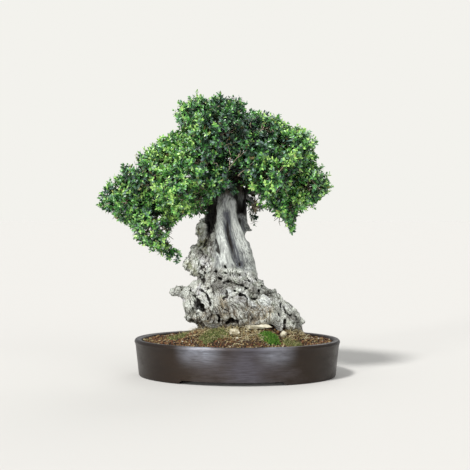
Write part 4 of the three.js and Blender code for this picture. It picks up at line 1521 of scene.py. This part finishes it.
def leaves_on(shoots, heading, shoot_tone, rng):
    """Opposite pairs of leaves up each shoot, each pair turned across the one below."""
    rows = []
    count = len(shoots)
    across, over = square_to(heading)
    first_turn = rng.uniform(0, 2 * math.pi, count)
    for pair in range(LEAF_PAIRS):
        share = 0.22 + 0.78 * pair / (LEAF_PAIRS - 1)
        step = 2 * share
        low = min(int(step), 1)
        root = shoots[:, low] * (1 - step + low) + shoots[:, low + 1] * (step - low)
        turn = first_turn + pair * math.pi / 2 + rng.normal(0, 0.25, count)
        opening = (math.radians(80 - 46 * share) + rng.normal(0, 0.2, count))[:, None]
        for side in (0, math.pi):
            ray = across * np.cos(turn + side)[:, None] + over * np.sin(turn + side)[:, None]
            direction = heading * np.cos(opening) + ray * np.sin(opening)
            face = heading * np.sin(opening) - ray * np.cos(opening)
            along = unit(direction + rng.normal(0, 0.12, direction.shape))
            up = unit(face + rng.normal(0, 0.15, face.shape))
            length = LEAF_LENGTH * (1.12 - 0.42 * share**2) * rng.uniform(0.8, 1.15, count)
            tone = np.clip(0.27 + 0.36 * share**1.8 + shoot_tone + rng.normal(0, 0.15, count), 0, 1)
            rows.append((root, along, up, length, tone))
    root, along, up, length, tone = (np.concatenate(values) for values in zip(*rows))
    width = length * LEAF_WIDTH / LEAF_LENGTH * rng.uniform(0.85, 1.2, len(length))
    bow = rng.normal(0.06, 0.07, len(length))
    points, faces = leaf_blades(root, along, up, length, width, bow)
    tone, chance = (np.repeat(values, len(LEAF_POINTS)) for values in (tone, rng.random(len(tone))))
    return points, faces, tone, chance


def map_blades(piece):
    """Gives each leaf or blade a cell of its own in the map that its colours are baked through."""
    count = len(piece.data.vertices) // len(LEAF_POINTS)
    side = math.ceil(math.sqrt(count))
    cell = np.stack([np.arange(count) % side, np.arange(count) // side], axis=-1)
    inside = 0.1 + 0.8 * (LEAF_POINTS[:, :2] + (0, 0.5))
    places = ((cell[:, None] + inside[None]) / side).reshape(-1, 2)
    corners = np.zeros(len(piece.data.loops), np.int32)
    piece.data.loops.foreach_get("vertex_index", corners)
    layer = piece.data.uv_layers.new(name="OFBake")
    layer.data.foreach_set("uv", places[corners].astype(np.float32).ravel())


STEM_SHARES = np.linspace(0, 1, 12)


def bent_stem(places, wobble, rng):
    """The corners of a line of pixels with their depths, and a crooked stem that runs along it."""
    chain = np.array([at_depth(pixel, depth) for *pixel, depth in places])
    stem = between(STEM_SHARES, np.linspace(0, 1, len(chain)), chain)
    stem[1:-1] += rng.normal(0, wobble, stem[1:-1].shape)
    return chain, stem


def make_sprays(leaf_surface, twig_surface):
    """The single sprays, each a bent stem with shoots along its outer part, and the bare branches."""
    rng = np.random.default_rng(77)
    stems, roots, headings, tones = [], [], [], []
    for places, tone, spacing in SPRAYS.values():
        chain, stem = bent_stem(places, 1.3, rng)
        stems.append(stem)
        count = int(np.linalg.norm(np.diff(chain, axis=0), axis=1).sum() / spacing)
        share = np.linspace(0.25, 1, count)
        roots.append(between(share, STEM_SHARES, stem))
        ahead = unit(chain[-1] - chain[0]) * (0.3 + 0.7 * share[:, None])
        headings.append(unit(ahead + 0.25 * UP + rng.normal(0, 0.5, (count, 3))))
        tones.append(np.full(count, tone))
    stems += [bent_stem(places, 1.1, rng)[1] for places in BARE_BRANCHES]
    roots, headings, tones = (np.concatenate(values) for values in (roots, headings, tones))
    tips = roots + headings * rng.uniform(6, 15, (len(roots), 1))
    shoots = bent_paths(roots, (roots + tips) / 2, tips, 3, rng, 0.4)
    leaves = leaves_on(shoots, headings, tones + rng.normal(0, 0.08, len(tones)), rng)
    dress_leaves("sprays", leaves, leaf_surface)
    barked, young = [tapered(np.array(stems), 1.0, 0.45, 4)], [tapered(shoots, 0.55, 0.35)]
    dress_twigs("sprays", barked, young, twig_surface)


def dress_leaves(name, made, material, *replaced):
    points, faces, tone, chance = made
    leaves = mesh_from("leaves_" + name, points, faces)
    map_blades(leaves)
    set_values(leaves, "tone", tone)
    set_values(leaves, "chance", chance)
    finish_piece(leaves, material, "leaves", *replaced)


def dress_twigs(name, barked, young, material):
    """Twigs from their meshes. The young ones are green, and painted dark as shade."""
    twigs = mesh_from("twigs_" + name, *join_meshes(barked + young))
    shares = [np.ones(len(points)) for points, _ in barked] + [np.zeros(len(points)) for points, _ in young]
    set_values(twigs, "barked", np.concatenate(shares))
    finish_piece(twigs, material, "wood")


def make_foliage(trunk_tree):
    names = sorted(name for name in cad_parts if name.startswith("foliage_"))
    pads = [Pad(name, index, trunk_tree) for index, name in enumerate(names)]
    whole = sum(pad.area() for pad in pads)
    leaf_surface, twig_surface = leaf_material(), twig_material()
    for pad in pads:
        others = [other for other in pads if other is not pad]
        barked, young, leaves = grow(pad, others, pad.area() / whole)
        short = pad.name.removeprefix("foliage_")
        dress_leaves(short, leaves, leaf_surface, pad.name)
        dress_twigs(short, barked, young, twig_surface)
    make_sprays(leaf_surface, twig_surface)


# The colours of leaves and twigs, from dark to light.
LEAF_STOPS = [
    (0.05, (0.006, 0.022, 0.013)), (0.25, (0.018, 0.074, 0.025)), (0.45, (0.050, 0.205, 0.042)),
    (0.66, (0.145, 0.415, 0.072)), (0.92, (0.46, 0.72, 0.18)),
]
OLD_STOPS = [(0.3, (0.12, 0.088, 0.06)), (0.5, (0.38, 0.315, 0.225)), (0.75, (0.60, 0.53, 0.42))]
# The young shoots are green and kept dark, as painted shade inside the crown.
YOUNG_STOPS = [(0.3, (0.020, 0.028, 0.012)), (0.55, (0.07, 0.085, 0.035)), (0.8, (0.16, 0.16, 0.08))]


def leaf_material():
    surface = Surface("olive_leaf", Specular_IOR_Level=0.75, Sheen_Weight=0.05)
    chance = surface.number("chance")
    where = surface.place()
    patch = surface.stretch(surface.grain(where, 22, 3), 0.3, 0.7, -0.05, 0.06)
    colour = surface.layered(
        surface.ramp(surface.plus(surface.number("tone"), patch), LEAF_STOPS),
        ((0.19, 0.28, 0.27), chance, (0.78, 0.86), (0, 0.6)),  # their silvery undersides, and a painted bluish sheen on glossy leaves
        ((0.30, 0.22, 0.06), chance, (0.05, 0.0), (0, 0.6)),  # withered
    )
    vein = surface.grain(where, 1500, 2)
    return surface.finish(colour, chance, (0.22, 0.42), (vein, 0.0003, 0.3), (0, 1))


def twig_material():
    surface = Surface("olive_twig", Specular_IOR_Level=0.3)
    bark = surface.grain(surface.place(), 240, 4, 0.6)
    young, old = (surface.ramp(bark, stops) for stops in (YOUNG_STOPS, OLD_STOPS))
    colour = surface.mix(surface.number("barked"), young, old)
    return surface.finish(colour, bark, (0.85, 0.65), (bark, 0.0005, 0.6))


# ---- stones and moss


def make_stone(name):
    """A finer, rougher copy of a stone's CAD solid, with flats broken off it."""
    rng = np.random.default_rng(len(name))
    piece = rework(mesh_from(name + "_surface", *node_mesh(name)), weld)
    modifier = piece.modifiers.new("finer", "SUBSURF")
    modifier.levels = modifier.render_levels = 2
    with_modifiers(piece)
    places = points_of(piece)
    middle = (places.max(0) + places.min(0)) / 2
    half = (places.max(0) - places.min(0)) / 2
    share = (places - middle) / half
    for _ in range(STONE_FLATS):
        facing = unit(rng.normal(size=3) * (1, 1, 0.8))
        share -= facing * np.maximum(share @ facing - rng.uniform(0.5, 0.85), 0)[:, None]
    places = middle + share * half * 1.12
    places = warp(warp(places, 16, STONE_RELIEF, seed=200), 5, 0.4 * STONE_RELIEF, seed=210)
    piece.data.vertices.foreach_set("co", to_frame(places).astype(np.float32).ravel())
    shade_by_angle(piece, 28)
    finish_piece(piece, stone_material(), "stone", name)


def stone_material():
    surface = Surface("pale_limestone", Specular_IOR_Level=0.3)
    where = surface.place()
    speck = surface.grain(where, 700, 3, 0.6)
    colour = surface.ramp(surface.grain(where, 90, 5, 0.65), STONE_STOPS)
    colour = surface.layered(colour, ((0.22, 0.17, 0.10), speck, (0.35, 0.65), (0.4, 0)))
    return surface.finish(colour, speck, (0.85, 0.65), (speck, 0.0008, 0.8))


# The colours of the stones and of moss and dry grass, from dark to light.
STONE_STOPS = [(0.36, (0.32, 0.28, 0.17)), (0.5, (0.60, 0.56, 0.42)), (0.68, (0.78, 0.76, 0.63))]
GREEN = [(0.2, (0.03, 0.10, 0.012)), (0.6, (0.10, 0.27, 0.03)), (0.95, (0.28, 0.48, 0.08))]
OLIVE = [
    (0.2, (0.07, 0.06, 0.022)), (0.45, (0.11, 0.17, 0.04)), (0.7, (0.26, 0.26, 0.09)),
    (0.95, (0.52, 0.45, 0.22)),
]
STRAW = [
    (0.1, (0.16, 0.11, 0.05)), (0.4, (0.42, 0.34, 0.16)), (0.7, (0.60, 0.52, 0.30)),
    (0.95, (0.74, 0.68, 0.46)),
]


class Mat:
    """A ragged low mat of moss that lies where its CAD node does and runs out into the soil."""

    def __init__(self, name, soil_top):
        low, high = box_of(name)
        self.middle = ((low + high) / 2)[:2]
        self.half = ((high - low) / 2)[:2]
        self.height = 0.8 * (high[2] - soil_top(self.middle[None])[0])
        self.soil_top = soil_top

    def surface(self, share, turn):
        """Points of the mat's top at a share of the way out in a direction."""
        x, y = np.cos(turn), np.sin(turn)
        ragged = 1 + 0.30 * noise(np.stack([x * 3, y * 3, 0 * turn + self.middle[0]], -1), 1.6, 7)
        flat = self.middle + np.stack([x, y], -1) * (share * ragged)[..., None] * self.half
        place = np.column_stack([flat, np.zeros(len(flat))])
        dome = self.height * np.sqrt(np.maximum(1 - share**2, 0))
        dome = dome * (0.75 + 0.55 * noise(place, 15, seed=230))
        tuft = 1.1 * fractal(place, 5, 2, seed=231)
        sunk = 1.4 * smoothstep(0.8, 1, share)
        return np.column_stack([flat, self.soil_top(flat) + dome + tuft * (share < 1) - sunk])


def make_moss(name, soil_top, blade_count, blade_length, blade_width, upright, stops):
    """A mat of moss, and blades of moss or dry grass all over and round it."""
    rng = np.random.default_rng(blade_count)
    mat = Mat(name, soil_top)
    rings, segments = 13, 56
    turn = np.tile(np.linspace(0, 2 * math.pi, segments, endpoint=False), rings)
    share = np.repeat(np.linspace(0, 1, rings + 1)[1:], segments)
    top = mat.surface(share, turn)
    rim = top[-segments:] - (0, 0, 3)
    middle = mat.surface(np.zeros(1), np.zeros(1))
    points = np.concatenate([middle, top, rim, middle - (0, 0, mat.height + 4)])
    cushion = mesh_from(name + "_cushion", points, closed_disc(rings, segments))
    finish_piece(cushion, cushion_material(name, stops), "moss", name)

    out = np.sqrt(rng.random(blade_count)) * rng.uniform(0.9, 1.25, blade_count)
    base = mat.surface(out, rng.uniform(0, 2 * math.pi, blade_count))
    heading = unit(upright * UP + rng.normal(0, 1, base.shape) * (1, 1, 0.5))
    base = base - heading * 0.8
    length = blade_length * rng.uniform(0.5, 1.3, blade_count)
    width = blade_width * rng.uniform(0.7, 1.3, blade_count)
    face = unit(np.cross(heading, rng.normal(size=heading.shape)))
    made, faces = leaf_blades(base, heading, face, length, width, rng.normal(0.1, 0.2, blade_count))
    blades = mesh_from(name + "_blades", made, faces)
    map_blades(blades)
    set_values(blades, "chance", np.repeat(rng.random(blade_count), len(LEAF_POINTS)))
    finish_piece(blades, blade_material(name, stops), "moss")


# Dry grass on the soil: the pixel in the middle of each tuft, its number of stems and how far they spread.
DRY_GRASS = [
    ((213, 328), 230, 26), ((228, 331), 200, 24), ((206, 333), 90, 26), ((292, 332), 160, 15),
    ((288, 339), 70, 18), ((184, 334), 120, 30), ((246, 332), 170, 26), ((268, 339), 60, 26),
    ((236, 337), 80, 30), ((301, 336), 70, 14), ((198, 330), 90, 18), ((258, 334), 90, 22),
]


def make_dry_grass(soil_top):
    """Loose dry stems in tufts where the picture shows them."""
    rng = np.random.default_rng(15)
    soil = tree_of("soil")
    base = []
    for pixel, count, spread in DRY_GRASS:
        hit = soil.ray_cast(CAMERA_PLACE, sight_line(*pixel))[0]
        flat = np.array(hit)[:2] + rng.normal(0, 0.5 * spread, (count, 2))
        base.append(np.column_stack([flat, soil_top(flat) - 0.5]))
    base = np.concatenate(base)
    heading = unit(rng.normal(0, 1, base.shape) * (1, 1, 0.3) + rng.uniform(0.1, 0.9, (len(base), 1)) * UP)
    length = rng.uniform(8, 21, (len(base), 1))
    tip = base + heading * length
    tip[:, 2] = np.maximum(tip[:, 2] - 0.25 * length[:, 0], base[:, 2] + 1.2)
    middle = base + heading * 0.6 * length + (0, 0, 1.5)
    stations, sides = 5, 3
    paths = bent_paths(base, middle, tip, stations, rng, 0.35)
    radii = np.linspace(0.52, 0.2, stations)[None] * rng.uniform(0.7, 1.3, (len(base), 1))
    piece = mesh_from("dry_grass", *tubes(paths, radii, sides))
    set_values(piece, "chance", np.repeat(rng.random(len(base)), stations * sides))
    finish_piece(piece, blade_material("dry_grass", STRAW), "moss")


def blade_material(name, stops):
    surface = Surface(name + "_blades", Specular_IOR_Level=0.3)
    chance = surface.number("chance")
    return surface.finish(surface.ramp(chance, stops), chance, (0.6, 0.8), span=(0, 1))


def cushion_material(name, stops):
    surface = Surface(name + "_cushion", Specular_IOR_Level=0.2)
    tuft = surface.grain(surface.place(), 700, 4, 0.65)
    colour = surface.mix(0.45, surface.ramp(tuft, stops), (0.02, 0.016, 0.008))
    return surface.finish(colour, tuft, (0.95, 0.8), (tuft, 0.002, 1.0))


# ---- drain screens and clips


def dress_fittings():
    """Black plastic for the drain screens and aluminium for their clips, on the CAD nodes themselves."""
    plastic = Surface("black_mesh_plastic", Specular_IOR_Level=0.4)
    moulded = plastic.grain(plastic.place(), 300, 3)
    black = plastic.ramp(moulded, [(0.3, (0.012, 0.012, 0.012)), (0.7, (0.03, 0.03, 0.032))])
    wire = Surface("aluminium_wire", Metallic=1.0)
    drawn = wire.grain(wire.place((1, 1, 6)), 200, 3)
    bright = wire.ramp(drawn, [(0.3, (0.38, 0.37, 0.36)), (0.7, (0.60, 0.59, 0.58))])
    for start, material in (
        ("drain_screen", plastic.finish(black, moulded, (0.45, 0.65))),
        ("screen_clip", wire.finish(bright, drawn, (0.35, 0.55))),
    ):
        for name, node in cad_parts.items():
            if name.startswith(start):
                node.data.materials.clear()
                node.data.materials.append(material)


# ---- floor and light


def make_studio():
    """The floor, the sky's light with a plain backdrop that only the camera sees, and four lamps."""
    reach = 60000
    points = [(-reach, -reach, 0), (reach, -reach, 0), (reach, reach, 0), (-reach, reach, 0)]
    floor = mesh_from("floor", points, [(0, 1, 2, 3)], smooth=False)
    surface = Surface("pale_floor", Base_Color=FLOOR_COLOUR, Roughness=0.9, Specular_IOR_Level=0.0)
    floor.data.materials.append(surface.material)

    scene = bpy.context.scene
    world = bpy.data.worlds.new("studio")
    scene.world = world
    world.use_nodes = True
    nodes, links = world.node_tree.nodes, world.node_tree.links
    sky, backdrop = nodes["Background"], nodes.new("ShaderNodeBackground")
    sky.inputs["Color"].default_value = SKY_COLOUR
    sky.inputs["Strength"].default_value = 0.55
    backdrop.inputs["Color"].default_value = BACKDROP_COLOUR
    seen, both = nodes.new("ShaderNodeLightPath"), nodes.new("ShaderNodeMixShader")
    sources = (seen.outputs["Is Camera Ray"], sky.outputs[0], backdrop.outputs[0])
    for source, socket in zip(sources, both.inputs):
        links.new(source, socket)
    links.new(both.outputs[0], nodes["World Output"].inputs["Surface"])

    for name, place, strength, spread in LAMPS:
        data = bpy.data.lights.new(name, "SUN")
        data.energy = strength
        data.angle = math.radians(spread)
        lamp = bpy.data.objects.new(name, data)
        lamp.location = to_frame(place)
        lamp.rotation_euler = (-Vector(place)).to_track_quat("-Z", "Y").to_euler()
        scene.collection.objects.link(lamp)
    scene.view_settings.view_transform = "Standard"


# ---- build

make_camera()
make_studio()
soil_top = soil_height()
trunk_solid = make_trunk(soil_top)
make_pot()
make_soil(soil_top)
make_grains(soil_top, trunk_solid)
for stone in ("flat_stone_large", "flat_stone_small", "pebble"):
    make_stone(stone)
make_moss("moss_bright", soil_top, 2500, 8.0, 0.8, 2.2, GREEN)
for name, count, upright in (("moss_front", 1700, 0.8), ("moss_left", 1500, 0.8), ("moss_right", 1100, 0.9)):
    make_moss(name, soil_top, count, 6.0, 0.6, upright, OLIVE)
make_dry_grass(soil_top)
make_foliage(tree_of("trunk"))
dress_fittings()
